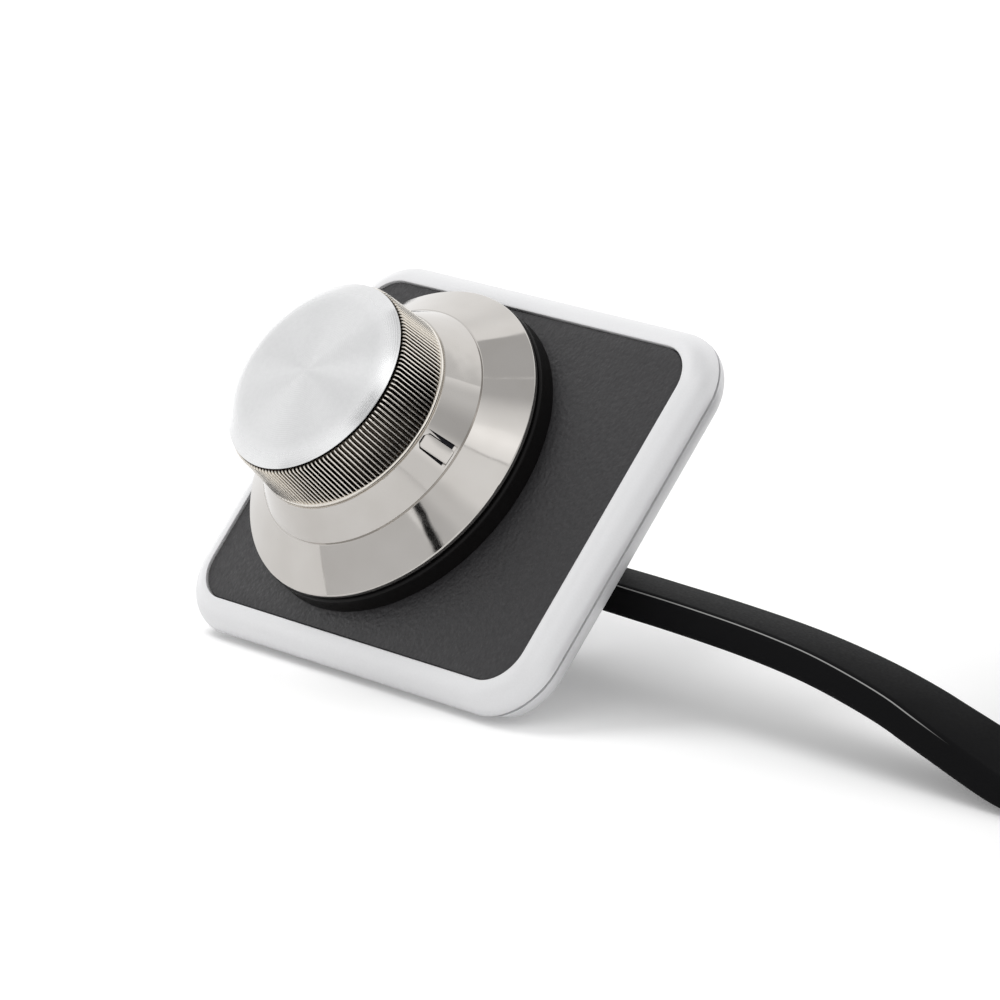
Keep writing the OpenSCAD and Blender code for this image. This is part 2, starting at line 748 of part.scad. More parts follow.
// The cord's outline: eight corners, or six where it is wound
function cord_outline(c) = let (w = cord_w / 2, t = cord_t / 2)
    [[w, c - t], [w, t - c], [w - c, t], [c - w, t], [-w, t - c], [-w, c - t], [c - w, -t], [w - c, -t]];
function coil_outline(c) = let (w = cord_w / 2, t = cord_t / 2)
    [[w, 0], [w - c, t], [c - w, t], [-w, 0], [c - w, -t], [w - c, -t]];

// One closed tube through the rings
module tube(rings) {
    n = len(rings[0]);
    last = (len(rings) - 1) * n;
    polyhedron(flatten(rings), concat(
        [for (k = [1:n - 2]) [0, k, k + 1]],
        [for (k = [1:n - 2]) [last, last + k + 1, last + k]],
        [for (i = [0:len(rings) - 2], k = [0:n - 1])
            let (a = i * n + k, b = i * n + (k + 1) % n) each [[a, b + n, b], [a, a + n, b + n]]]
    ));
}

module swept(route) {
    tube([for (i = [0:len(route) - 1])
        ring(route[i], i == 0 || i == len(route) - 1 ? [ahead(route, i)[0] > 0 ? 1 : -1, 0, 0]
            : ahead(route, i), route[i][3], cord_outline(cord_bevel))]);
}

// Radius and height of the coil after so many turns: in, a half turn of climbing, and out
function smooth(x) = x * x * (3 - 2 * x);
function coil_r(t) = let (s = t - coil_turns - 1 / 2)
    s <= 0 ? coil_out_r - coil_pitch * t
    : coil_turn_r + coil_pitch * (s < 1 / 2 ? 2 * s : s + 1 / 2);
function coil_z(t) = let (s = (t - coil_turns - 1 / 2) / climb_share + 1)
    coil_low_z + coil_step * smooth(max(0, min(1, s)));
coil_total = 2 * coil_turns + 1 / 2;
function coil_point(t) = let (a = -90 + 360 * t, r = coil_r(t))
    [coil_centre[0] + r * cos(a), coil_centre[1] + r * sin(a), coil_z(t)];
function coil_heading(t) = let (d = 1 / coil_rings / 4)
    unit(coil_point(min(coil_total, t + d)) - coil_point(max(0, t - d)));
coil_count = coil_total * coil_rings;
coil_points = [for (i = [0:coil_count]) coil_point(i / coil_rings)];

module cable_lead() {
    color("black") swept(lead_route);
}

module cable_coil() {
    color("black") tube([for (i = [0:coil_count])
        let (t = i == 0 ? [1, 0, 0] : i == coil_count ? [-1, 0, 0] : coil_heading(i / coil_rings))
        ring(coil_points[i], t, 90, coil_outline(coil_bevel))]);
}

module cable_tail() {
    color("black") swept(tail_route);
}

// The coil's least gap to itself, one turn and more apart at the same angle
function apart(p, q) = max(
    abs(norm([p[0], p[1]] - coil_centre) - norm([q[0], q[1]] - coil_centre)) - cord_t,
    abs(p[2] - q[2]) - cord_w);
echo(least_gap_mm = min([for (i = [0:coil_count], j = [i + coil_rings:coil_rings:coil_count])
    apart(coil_points[i], coil_points[j])]));

function route_length(route) = let (steps = [for (i = [1:len(route) - 1])
    norm(place(route[i]) - place(route[i - 1]))]) steps * [for (s = steps) 1];
echo(cord_length_mm = [
    route_length(lead_route), route_length(coil_points), route_length(tail_route)]);

tie_in_r = coil_turn_r + coil_pitch / 2 - cord_t / 2 - 2 * coil_gap;
tie_out_r = coil_out_r - 3 / 4 * coil_pitch + cord_t / 2 + coil_gap;
coil_bottom = coil_low_z - cord_w / 2;
tie_top = coil_bottom + coil_step + cord_w + seat;

module cable_tie() {
    color("dimgray") translate([coil_centre[0] - tie_out_r - tie_t, coil_centre[1] - tie_w / 2, 0])
        difference() {
            translate([0, 0, coil_bottom - tie_t - seat])
                cube([tie_out_r - tie_in_r + 2 * tie_t, tie_w, tie_top - coil_bottom + 2 * tie_t + seat]);
            translate([tie_t, -over, coil_bottom - seat])
                cube([tie_out_r - tie_in_r, tie_w + 2 * over, tie_top - coil_bottom + seat]);
        }
}

// The plug at the far end, its x running from the cord's entry to its nose
module at_plug() {
    end = tail_route[len(tail_route) - 1];
    translate([end[0], end[1], 0]) rotate([0, 0, 180]) children();
}

module contact_row(grow, from_z) {
    for (i = [0:wire_count - 1])
        translate([plug_len - plug_wall - contact_len - grow,
                (i - (wire_count - 1) / 2) * contact_pitch - contact_t / 2 - grow, from_z])
            cube([contact_len + 2 * grow, contact_t + 2 * grow, contact_h + grow - from_z]);
}

// Its contacts are on the underside, and its latch rises backwards from the nose
module plug_body() {
    latch_len = plug_len * latch_len_share;
    latch_lean = asin(latch_rise / latch_len);
    color("lightcyan") at_plug() difference() {
        union() {
            translate([0, -plug_w / 2, 0]) cube([plug_len, plug_w, plug_h]);
            translate([plug_len - latch_t, -latch_w / 2, plug_h - latch_t / 2])
                rotate([0, latch_lean, 0]) translate([-latch_len, 0, 0]) cube([latch_len, latch_w, latch_t]);
        }
        contact_row(seat, -over);
    }
}

module plug_contacts() {
    color("gold") at_plug() contact_row(0, contact_inset);
}

front_bezel();
face_panel();
panel_adhesive();
base_ring();
rear_shell();
shell_screws();
mounting_pad();
strain_relief();
pot_housing();
pot_bushing();
pot_washer();
pot_nut();
pot_track();
pot_pins();
circuit_board();
lead_wires();
pot_shaft();
pot_wiper();
hub_insert();
spring_clip();
knob_body();
index_bar();
knurled_ring();
cap_adhesive();
knob_cap();
cable_lead();
cable_coil();
cable_tail();
cable_tie();
plug_body();
plug_contacts();
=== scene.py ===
import json
import math

import bmesh
import bpy
from mathutils import Matrix, Vector

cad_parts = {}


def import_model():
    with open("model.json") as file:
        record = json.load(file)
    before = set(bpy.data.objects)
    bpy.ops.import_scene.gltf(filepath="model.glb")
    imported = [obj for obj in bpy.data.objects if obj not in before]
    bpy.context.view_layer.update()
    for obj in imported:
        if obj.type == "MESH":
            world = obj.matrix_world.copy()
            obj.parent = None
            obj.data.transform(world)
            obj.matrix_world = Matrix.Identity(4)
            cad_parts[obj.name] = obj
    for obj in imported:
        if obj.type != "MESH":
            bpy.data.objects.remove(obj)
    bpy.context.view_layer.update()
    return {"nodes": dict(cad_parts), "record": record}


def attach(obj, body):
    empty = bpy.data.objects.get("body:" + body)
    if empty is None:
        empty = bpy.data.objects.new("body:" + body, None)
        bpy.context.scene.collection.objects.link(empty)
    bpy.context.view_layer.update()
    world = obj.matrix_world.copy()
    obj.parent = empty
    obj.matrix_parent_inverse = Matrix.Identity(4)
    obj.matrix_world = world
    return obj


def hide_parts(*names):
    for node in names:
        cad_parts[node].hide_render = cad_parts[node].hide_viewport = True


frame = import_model()

MM = 0.001
NODES = frame["nodes"]
# Places a piece whose points are in millimetres
IN_MM = Matrix.Scale(MM, 4)

# The plate stands inclined, and its own frame is x along it, y up it, z towards the viewer.
# The knob's axis and the plate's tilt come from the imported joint.
turn = frame["record"]["behaviour"]["joints"][0]
AXIS = Vector(turn["axis"]).normalized()
TILT = math.atan2(-AXIS.y, AXIS.z)
KNOB = Matrix.Translation(Vector(turn["pos_m"])) @ Matrix.Rotation(TILT, 4, "X")
KNOB_LEFT = 4.5 * MM
KNOB_UP = 0.7 * MM
PLATE = KNOB @ Matrix.Translation((KNOB_LEFT, -KNOB_UP, 0))

# Sizes of the plate
PANEL_W = 38.4 * MM
PANEL_H = 30.2 * MM
PANEL_CORNER = 3.2 * MM
PANEL_T = 0.8 * MM
PANEL_GAP = 0.09 * MM
RIM = 2.1 * MM
CREST = 0.16 * MM
SEAM_Z = CREST - RIM
SEAM_GAP = 0.1 * MM
SEAM_DEPTH = 0.35 * MM
POCKET_FLOOR = -1.0 * MM

# Sizes of the knob, as distances from its axis and heights above the panel
SKIRT_R = 14 * MM
SKIRT_Z = 1.95 * MM
LIP_H = 0.35 * MM
JUNCTION_R = 10.8 * MM
JUNCTION_Z = 4.7 * MM
STEP = 0.12 * MM
BARREL_R = 9.05 * MM
BARREL_Z = 7.3 * MM
SPIGOT_R = 7.4 * MM
POCKET_R = 7.2 * MM
POCKET_Z = 6 * MM
HUB_R = 4.4 * MM
HUB_TOP = 11.6 * MM
KNURL_BACK_R = 8.95 * MM
KNURL_FRONT_R = 8.6 * MM
KNURL_LEN = 4.8 * MM
KNURL_COUNT = 144
KNURL_TOP = BARREL_Z + KNURL_LEN
CAP_Z = KNURL_TOP + 0.16 * MM
CAP_R = 8.4 * MM
CAP_BAND = 1.35 * MM
CAP_EDGE_H = 0.1 * MM
CAP_BAND_H = 0.45 * MM
CAP_DOME_H = 0.45 * MM
RING_R = 14.1 * MM
RING_H = 1.65 * MM
RING_HOLE = 7 * MM
INDEX_W = 1.25 * MM
INDEX_H = 0.12 * MM
INDEX_FRONT = 0.16 * MM
INDEX_BACK = 0.16 * MM
INDEX_CORNERS = [0.35 * MM, 0.3 * MM, 0.12 * MM, 0.28 * MM]
SLOT_NEAR = 0.1 * MM
SLOT_LEFT = 0.27 * MM
SLOT_RIGHT = 0.45 * MM
SLOT_DEPTH = 0.4 * MM
SLOT_OVER = 1.2 * MM
INDEX_AZ = math.radians(-5)

# The flat cord
CORD_W = 6.6 * MM
CORD_T = 2.5 * MM
CORD_GAP = 0.5 * MM
ON_EDGE = math.radians(90)
COIL_TURNS = 11
COIL_CENTRE = (84 * MM, 57.1 * MM)
COIL_OUT_R = 51 * MM
COIL_LOW_Z = 4.2 * MM
COIL_PITCH = CORD_T + CORD_GAP
COIL_STEP = CORD_W + CORD_GAP
COIL_TURN_R = COIL_OUT_R - (COIL_TURNS + 0.5) * COIL_PITCH
COIL_RINGS = 48
# Points of the cord's middle in millimetres, and the turn of its flat side in degrees
LEAD_ROUTE = [
    (10.8, 6.1, 7.4, -8), (15, 6.1, 7.4, -8), (19, 6.1, 7.35, -8), (23, 6.1, 7.3, -8),
    (27, 6.1, 7.2, -8), (31, 6.1, 7.05, -8), (35, 6.1, 6.8, -8), (39, 6.1, 6.4, -8),
    (43, 6.1, 5.8, -7), (47, 6.1, 5, -6), (50, 6.1, 4.2, -4), (53, 6.1, 3.4, -2),
    (56, 6.1, 2.6, 0), (59, 6.1, 2, 4), (62, 6.1, 2.1, 16), (65, 6.1, 2.65, 34),
    (68, 6.1, 3.3, 54), (71, 6.1, 3.85, 72), (74, 6.1, 4.15, 85), (77, 6.1, 4.2, 90),
    (84, 6.1, 4.2, 90),
]
TAIL_ROUTE = [
    (84, 108.1, 11.3, 90), (77, 108.1, 11.3, 90), (73, 108.1, 11.1, 84), (69, 108.1, 10.4, 66),
    (65, 108.1, 9.2, 44), (61, 108.1, 7.7, 24), (57, 107.8, 6.3, 10), (53, 107.1, 5, 2),
    (49, 106.2, 4, 0), (45, 105.4, 3.5, 0), (41, 104.9, 3.3, 0), (37, 104.8, 3.3, 0),
    (33, 104.8, 3.3, 0),
]

# The painted highlight along the lead's upper edge is full up to one ring of it and gone by the other
CORD_CORNER = 0.6 * MM
CORNER_STEPS = 4
LINE_CORNER = CORNER_STEPS + 1 + CORNER_STEPS // 2
LINE_FULL, LINE_END = 40, 60

# The strain relief, in millimetres along the cord from the wall's outside and out from its body
EXIT_PLACE = (6, 6.1, 7.4)
EXIT_ROLL = math.radians(-8)
HOUSING_WALL = 1.5
FLANGE_T = 0.8
FLANGE_OUT = 0.3
RELIEF_LEN = 4
RELIEF_WALL = 0.7
RELIEF_ROUND = 1.2
RELIEF_TAPER = 0.35
RIBS = 5
# Shares of a rib's pitch, and how deep its outline lies there
RIB_OUTLINE = [(0, 0.22), (0.35, 0.22), (0.43, 0.03), (0.5, 0), (0.85, 0), (0.92, 0.03)]

# The strap round the coil, in millimetres, its corners low and high in the plane of x and z
STRAP_LOW, STRAP_HIGH = Vector((32.8, 0.17)), Vector((68.95, 15.33))
STRAP_Y = 57.1
STRAP_W = 7
STRAP_T = 0.7
STRAP_INNER_T = 0.36
STRAP_ROUND = 0.6
STRAP_STEPS = 8

# The plug, in millimetres from the cord's end towards its nose
PLUG_END = (33, 104.8, 0)
PLUG_LEN, PLUG_W, PLUG_H = 12.3, 9.6, 6.6
LATCH_T, LATCH_W, LATCH_RISE = 0.9, 3.2, 2
LATCH_SHARE = 0.8
SHOULDER_W = 5.8
CONTACTS = 6
CONTACT_PITCH = 1.02
CONTACT_SLOT = (PLUG_LEN - 5.55, PLUG_LEN - 0.85)
CONTACT_SLOT_W = 0.4
CONTACT_SLOT_H = 2.25

# The camera that the photograph was taken with
CAMERA_PLACE = Vector((0.36419, -0.30177, 0.12881))
CAMERA_AIM = Vector((-0.74164, 0.62712, -0.23811))
CAMERA_LENS = 223.1


def camera():
    data = bpy.data.cameras.new("photo_camera")
    data.lens = CAMERA_LENS
    data.sensor_width = 36
    data.clip_start = 0.01
    data.clip_end = 50
    eye = bpy.data.objects.new("photo_camera", data)
    eye.location = CAMERA_PLACE
    eye.rotation_euler = CAMERA_AIM.to_track_quat("-Z", "Y").to_euler()
    bpy.context.collection.objects.link(eye)
    bpy.context.scene.camera = eye


# Node materials


class Nodes:
    """Short calls that add nodes to a tree and link them."""

    def __init__(self, tree):
        self.tree = tree

    def add(self, kind, **values):
        node = self.tree.nodes.new(kind)
        for key, value in values.items():
            setattr(node, key, value)
        return node

    def link(self, out, into):
        self.tree.links.new(out, into)

    def math(self, how, a, b=0.0, c=0.0):
        node = self.add("ShaderNodeMath", operation=how)
        for socket, value in zip(node.inputs, (a, b, c)):
            if isinstance(value, (int, float)):
                socket.default_value = value
            else:
                self.link(value, socket)
        return node.outputs[0]

    def spread(self, value, low, high, to_low=0.0, to_high=1.0, smooth=False):
        """A value carried from one range to another, and held at its ends."""
        node = self.add("ShaderNodeMapRange")
        node.interpolation_type = "SMOOTHSTEP" if smooth else "LINEAR"
        ends = {"From Min": low, "From Max": high, "To Min": to_low, "To Max": to_high}
        for key, number in ends.items():
            node.inputs[key].default_value = number
        self.link(value, node.inputs["Value"])
        return node.outputs["Result"]


class Shader(Nodes):
    """A node material on one Principled shader."""

    def __init__(self, name, colour, rough, metal=0.0, **sockets):
        self.material = bpy.data.materials.new(name)
        self.material.use_nodes = True
        super().__init__(self.material.node_tree)
        self.bsdf = self.tree.nodes["Principled BSDF"]
        self.bsdf.inputs["Base Color"].default_value = (*colour, 1)
        self.bsdf.inputs["Roughness"].default_value = rough
        self.bsdf.inputs["Metallic"].default_value = metal
        for key, value in sockets.items():
            self.bsdf.inputs[key.replace("_", " ")].default_value = value
        self.colour = colour
        self.place = self.add("ShaderNodeTexCoord").outputs["Object"]

    def local(self, matrix):
        """Coordinates in the frame of that matrix, from the row's own."""
        quat = matrix.to_quaternion().inverted()
        shift = -(quat @ matrix.translation)
        node = self.add("ShaderNodeMapping", vector_type="POINT")
        node.inputs["Rotation"].default_value = quat.to_euler()
        node.inputs["Location"].default_value = shift
        self.link(self.place, node.inputs["Vector"])
        return node.outputs["Vector"]

    def ripple(self, value, pitch):
        """Even waves of that pitch."""
        return self.math("SINE", self.math("MULTIPLY", value, 2 * math.pi / pitch))

    def noise(self, size, detail=3.0):
        node = self.add("ShaderNodeTexNoise")
        node.inputs["Scale"].default_value = 1 / size
        node.inputs["Detail"].default_value = detail
        self.link(self.place, node.inputs["Vector"])
        return node.outputs["Fac"]

    def cells(self, size, feature="F1"):
        node = self.add("ShaderNodeTexVoronoi", feature=feature)
        node.inputs["Scale"].default_value = 1 / size
        self.link(self.place, node.inputs["Vector"])
        return node.outputs["Distance"]

    def tint(self, value, low, high):
        """Base colour between two, by a value from 0 to 1; the low one may be a node's output."""
        node = self.add("ShaderNodeMix", data_type="RGBA")
        self.link(value, node.inputs["Factor"])
        if isinstance(low, tuple):
            node.inputs["A"].default_value = (*low, 1)
        else:
            self.link(low, node.inputs["A"])
        node.inputs["B"].default_value = (*high, 1)
        self.link(node.outputs["Result"], self.bsdf.inputs["Base Color"])
        return self

    def darken(self, value, dark):
        """That colour over the base colour's nodes, by a value from 0 to 1."""
        return self.tint(value, self.bsdf.inputs["Base Color"].links[0].from_socket, dark)

    def shade(self, value, amount):
        """Base colour a little darker where the value is low."""
        dark = tuple(c * (1 - amount) for c in self.colour)
        return self.tint(value, dark, self.colour)

    def roughen(self, value, low, high):
        self.link(self.spread(value, 0.3, 0.7, low, high), self.bsdf.inputs["Roughness"])
        return self

    def bump(self, value, depth, strength=1.0):
        node = self.add("ShaderNodeBump")
        node.inputs["Strength"].default_value = strength
        node.inputs["Distance"].default_value = depth
        self.link(value, node.inputs["Height"])
        self.link(node.outputs["Normal"], self.bsdf.inputs["Normal"])
        return self


def from_axis(shader, matrix):
    """Distance from an axis, and the height along it."""
    split = shader.add("ShaderNodeSeparateXYZ")
    shader.link(shader.local(matrix), split.inputs[0])
    x, y, z = split.outputs
    squares = shader.math("ADD", shader.math("MULTIPLY", x, x), shader.math("MULTIPLY", y, y))
    return shader.math("SQRT", squares), z


def plastic(name, colour, rough, grain=0.25 * MM, depth=0.006 * MM, vary=0.12):
    s = Shader(name, colour, rough)
    fine = s.noise(grain, 4)
    s.shade(s.noise(9 * MM), vary)
    return s.roughen(fine, rough - 0.05, rough + 0.07).bump(fine, depth).material


def metal(name, colour, rough, size=0.4 * MM, depth=0.003 * MM):
    s = Shader(name, colour, rough, 1.0)
    marks = s.noise(size, 4)
    s.shade(s.noise(5 * MM), 0.08)
    return s.roughen(marks, rough * 0.75, rough * 1.3).bump(marks, depth).material


def satin_paint():
    s = Shader("satin_frame", (0.82, 0.82, 0.83), 0.36, 0.25, Coat_Weight=0.15, Coat_Roughness=0.3)
    grain = s.noise(0.09 * MM, 2)
    return s.shade(s.noise(0.16 * MM, 2), 0.06).roughen(grain, 0.32, 0.42).bump(grain, 0.004 * MM).material


def pebbled_panel():
    s = Shader("panel_black", (0.031, 0.03, 0.032), 0.5, Specular_IOR_Level=0.42)
    cells = s.cells(0.34 * MM, "SMOOTH_F1")
    height = s.math("ADD", cells, s.math("MULTIPLY", s.noise(0.2 * MM, 3), 0.7))
    s.shade(s.spread(s.noise(0.3 * MM, 3), 0.35, 0.65), 0.22)
    return s.roughen(s.noise(0.5 * MM, 2), 0.4, 0.54).bump(height, 0.05 * MM).material


def satin_black():
    s = Shader("ring_black", (0.006, 0.0055, 0.0055), 0.42, Specular_IOR_Level=0.12)
    z = from_axis(s, KNOB)[1]
    lines = s.ripple(z, 0.12 * MM)
    height = s.math("ADD", s.math("MULTIPLY", lines, 0.5), s.noise(0.12 * MM, 2))
    return s.roughen(s.noise(0.3 * MM), 0.32, 0.46).bump(height, 0.003 * MM).material


def polished_nickel():
    """Mirror plating, slightly warm, with the faint waves of a polished part and painted shade in the index
    slot.
    """
    s = Shader("chrome", (0.555, 0.532, 0.507), 0.05, 1.0)
    r, z = from_axis(s, KNOB)
    lines = s.ripple(r, 0.05 * MM)
    height = s.math("ADD", s.math("MULTIPLY", lines, 0.05), s.math("MULTIPLY", s.noise(2.6 * MM, 1), 12))
    s.tint(s.spread(s.noise(4 * MM, 2), 0.3, 0.7), (0.535, 0.512, 0.486), (0.572, 0.55, 0.526))
    # Painted shade: below the barrel's surface, between the junction's step and the knurl, the index slot is
    # darkened to near black.
    back_r, back_z = JUNCTION_R - STEP, JUNCTION_Z + STEP
    slope = (BARREL_R - back_r) / (BARREL_Z - back_z)
    barrel = s.math("MULTIPLY_ADD", s.math("SUBTRACT", z, back_z), slope, back_r)
    under = s.spread(s.math("SUBTRACT", barrel, r), 0.02 * MM, 0.06 * MM)
    above = s.spread(z, back_z + 0.1 * MM, back_z + 0.13 * MM)
    inside = s.spread(z, BARREL_Z - 0.12 * MM, BARREL_Z - 0.08 * MM, 1, 0)
    s.darken(s.math("MULTIPLY", s.math("MULTIPLY", under, above), inside), (0.012, 0.012, 0.014))
    return s.roughen(s.noise(1.2 * MM, 3), 0.035, 0.075).bump(height, 0.001 * MM).material


def knurl_plating():
    """The same plating on the ridges; the grooves darker with depth, as dark oxide and polish left in them
    and as painted shade.
    """
    s = Shader("knurl_metal", (0.66, 0.63, 0.58), 0.16, 1.0)
    r, z = from_axis(s, KNOB)
    # Painted shade and dark oxide: the colour falls to near black with depth below the ridges' crest.
    slope = (KNURL_FRONT_R - KNURL_BACK_R) / KNURL_LEN
    crest = s.math("MULTIPLY_ADD", s.math("SUBTRACT", z, BARREL_Z), slope, KNURL_BACK_R)
    depth = s.math("SUBTRACT", crest, r)
    clear_of_oxide_and_shade = s.spread(depth, 0.1 * MM, 0.2 * MM, 1, 0, smooth=True)
    s.tint(clear_of_oxide_and_shade, (0.06, 0.05, 0.04), (0.8, 0.76, 0.7))
    return s.roughen(s.noise(0.2 * MM, 3), 0.1, 0.2).material


def turned_aluminium():
    """Fine concentric turning marks, which spread the lamp's light into a fan."""
    s = Shader("cap_aluminium", (0.81, 0.813, 0.818), 0.3, 1.0, Anisotropic=0.9)
    r = from_axis(s, KNOB)[0]
    height = s.math("ADD", s.ripple(r, 0.17 * MM), s.math("MULTIPLY", s.ripple(r, 0.071 * MM), 0.6))
    away = s.add("ShaderNodeVectorMath", operation="SUBTRACT")
    s.link(s.place, away.inputs[0])
    away.inputs[1].default_value = KNOB.translation
    s.link(away.outputs[0], s.bsdf.inputs["Tangent"])
    s.shade(s.spread(s.noise(0.4 * MM, 2), 0.3, 0.7), 0.03)
    edge = s.spread(r, CAP_R - 1.6 * CAP_BAND, CAP_R - 0.3 * CAP_BAND, 0.4, 0.2, smooth=True)
    s.link(edge, s.bsdf.inputs["Roughness"])
    return s.bump(height, 0.0016 * MM).material


def vinyl():
    """The cord's black jacket, with a painted highlight along one edge of it."""
    s = Shader("cord_jacket", (0.008, 0.008, 0.0085), 0.48, Specular_IOR_Level=0.02, IOR=1.35)
    # Painted highlight: a light grey line where the mesh attribute marks the lead's upper edge.
    line = s.add("ShaderNodeAttribute", attribute_name="painted_highlight_line").outputs["Fac"]
    s.tint(s.spread(line, 0.7, 1), s.colour, (0.45, 0.45, 0.44))
    fine = s.noise(0.25 * MM, 3)
    return s.roughen(fine, 0.44, 0.54).bump(fine, 0.002 * MM).material


def woven_strap():
    s = Shader("tie_strap", (0.05, 0.05, 0.056), 0.85, Sheen_Weight=0.4)
    wave = s.add("ShaderNodeTexWave", bands_direction="X")
    wave.inputs["Scale"].default_value = 1 / (1.2 * MM)
    s.link(s.place, wave.inputs["Vector"])
    height = s.math("ADD", wave.outputs["Fac"], s.noise(0.2 * MM, 3))
    # Painted shade: the weave's low parts are darker, by the same height that bumps it.
    return s.shade(height, 0.4).bump(height, 0.05 * MM).material


def clear_plastic():
    s = Shader("plug_clear", (0.9, 0.94, 0.95), 0.06, Transmission_Weight=0.92, IOR=1.5)
    flow = s.noise(1.5 * MM, 2)
    return s.roughen(flow, 0.04, 0.12).bump(flow, 0.01 * MM).material


def solder_mask():
    """The board's green coat, lighter over its tracks."""
    s = Shader("board_green", (0.03, 0.17, 0.07), 0.32)
    tracks = s.add("ShaderNodeTexBrick")
    tracks.inputs["Scale"].default_value = 1 / (2.4 * MM)
    tracks.inputs["Mortar Size"].default_value = 0.06
    s.link(s.local(PLATE), tracks.inputs["Vector"])
    s.tint(tracks.outputs["Fac"], s.colour, (0.07, 0.3, 0.12))
    return s.bump(tracks.outputs["Fac"], 0.03 * MM).material


def looks():
    """One material for each of the record's slots."""
    return {
        "satin_frame": satin_paint(),
        "panel_black": pebbled_panel(),
        "adhesive": plastic("adhesive", (0.02, 0.02, 0.021), 0.8, 0.3 * MM, 0.03 * MM),
        "ring_black": satin_black(),
        "chrome": polished_nickel(),
        "knurl_metal": knurl_plating(),
        "cap_aluminium": turned_aluminium(),
        "steel": metal("steel", (0.62, 0.62, 0.61), 0.28),
        "brass": metal("brass", (0.78, 0.57, 0.27), 0.22),
        "pot_plastic": plastic("pot_plastic", (0.05, 0.08, 0.1), 0.45),
        "wiper_plastic": plastic("wiper_plastic", (0.75, 0.7, 0.55), 0.4),
        "track_carbon": plastic("track_carbon", (0.02, 0.02, 0.02), 0.6),
        "board_green": solder_mask(),
        "wire_insulation": plastic("wire_insulation", (0.42, 0.03, 0.03), 0.35),
        "cord_jacket": vinyl(),
        "relief_rubber": plastic("relief_rubber", (0.013, 0.013, 0.014), 0.5, 0.2 * MM, 0.01 * MM),
        "tie_strap": woven_strap(),
        "plug_clear": clear_plastic(),
        "contact_gold": metal("contact_gold", (0.95, 0.72, 0.32), 0.15),
    }


# Meshes


def mesh_object(name, verts, faces, where=Matrix()):
    mesh = bpy.data.meshes.new(name)
    mesh.from_pydata([where @ Vector(v) for v in verts], [], faces)
    mesh.validate()
    mesh.update()
    made = bpy.data.objects.new(name, mesh)
    bpy.context.collection.objects.link(made)
    return made


def piece(name, verts, faces, body, slot, replaced=(), where=Matrix()):
    """A mesh piece in the row frame, with its material, body and replaced nodes."""
    made = mesh_object(name, verts, faces, where)
    outward(made.data)
    made.data.materials.append(LOOKS[slot])
    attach(made, body)
    if replaced:
        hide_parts(*replaced)
    return made


def outward(mesh):
    shape = bmesh.new()
    shape.from_mesh(mesh)
    bmesh.ops.recalc_face_normals(shape, faces=shape.faces)
    shape.to_mesh(mesh)
    shape.free()


def smooth(made, angle=30):
    made.data.shade_smooth()
    made.data.set_sharp_from_angle(angle=math.radians(angle))
    return made


def arc(centre, radius, start, end, count):
    """Points of an arc in the plane of a profile, angles in degrees."""
    steps = [math.radians(start + (end - start) * i / count) for i in range(count + 1)]
    return [(centre[0] + radius * math.cos(a), centre[1] + radius * math.sin(a)) for a in steps]


def fillet(before, corner, after, radius, count=5):
    """A corner of a profile, rounded to that radius."""
    corner = Vector(corner)
    back, on = (Vector(before) - corner).normalized(), (Vector(after) - corner).normalized()
    half = back.angle(on) / 2
    middle = corner + (back + on).normalized() * (radius / math.sin(half))
    start, end = ((corner + way * (radius / math.tan(half)) - middle) for way in (back, on))
    first = math.atan2(start.y, start.x)
    turned = (math.atan2(end.y, end.x) - first + math.pi) % (2 * math.pi) - math.pi
    return [(middle.x + radius * math.cos(first + turned * i / count),
             middle.y + radius * math.sin(first + turned * i / count)) for i in range(count + 1)]


def rounded(points, radii):
    """A closed profile with its corners rounded; a radius of 0 keeps the corner."""
    out = []
    for i, (point, radius) in enumerate(zip(points, radii)):
        if radius:
            out += fillet(points[i - 1], point, points[(i + 1) % len(points)], radius)
        else:
            out.append(point)
    return out


def lathe(profile, segments):
    """Vertices and faces of a closed profile of radius and height, turned round the axis."""
    verts, rows = [], []
    for r, z in profile:
        count = 1 if r < 1e-9 else segments
        rows.append([len(verts) + i % count for i in range(segments)])
        for i in range(count):
            a = 2 * math.pi * i / segments
            verts.append((r * math.cos(a), r * math.sin(a), z))
    faces = []
    for j in range(len(rows)):
        low, high = rows[j], rows[(j + 1) % len(rows)]
        for i in range(segments):
            k = (i + 1) % segments
            face = list(dict.fromkeys([low[i], low[k], high[k], high[i]]))
            if len(face) > 2:
                faces.append(face)
    return verts, faces


def turned_normals(made, where):
    """Exact normals for a turned surface: each face shades as the cone that it lies on."""
    mesh = made.data
    axis = where.to_3x3() @ Vector((0, 0, 1))
    origin = where.translation
    normals = [None] * len(mesh.loops)
    for face in mesh.polygons:
        away = face.center - origin
        radial = (away - axis * away.dot(axis))
        n = face.normal
        turned = radial.length > 1e-6 and abs(n.dot(axis.cross(radial.normalized()))) < 0.02
        for loop in face.loop_indices:
            normals[loop] = n
            if turned:
                out = mesh.vertices[mesh.loops[loop].vertex_index].co - origin
                out = out - axis * out.dot(axis)
                if out.length > 1e-6:
                    side = n.dot(radial.normalized())
                    normals[loop] = (out.normalized() * side + axis * n.dot(axis)).normalized()
    mesh.shade_smooth()
    mesh.normals_split_custom_set(normals)


def turned_piece(name, profile, body, slot, replaced, segments=360, cut=None, exact=True):
    verts, faces = lathe(profile, segments)
    made = piece(name, verts, faces, body, slot, replaced, KNOB)
    if cut:
        apply_cut(made, cut)
    if exact:
        turned_normals(made, KNOB)
    else:
        smooth(made)
    return made


def apply_cut(made, cutter):
    modifier = made.modifiers.new("cut", "BOOLEAN")
    modifier.operation = "DIFFERENCE"
    modifier.solver = "EXACT"
    modifier.object = cutter
    deps = bpy.context.evaluated_depsgraph_get()
    result = bpy.data.meshes.new_from_object(made.evaluated_get(deps))
    made.modifiers.clear()
    made.data = result
    bpy.data.objects.remove(cutter)


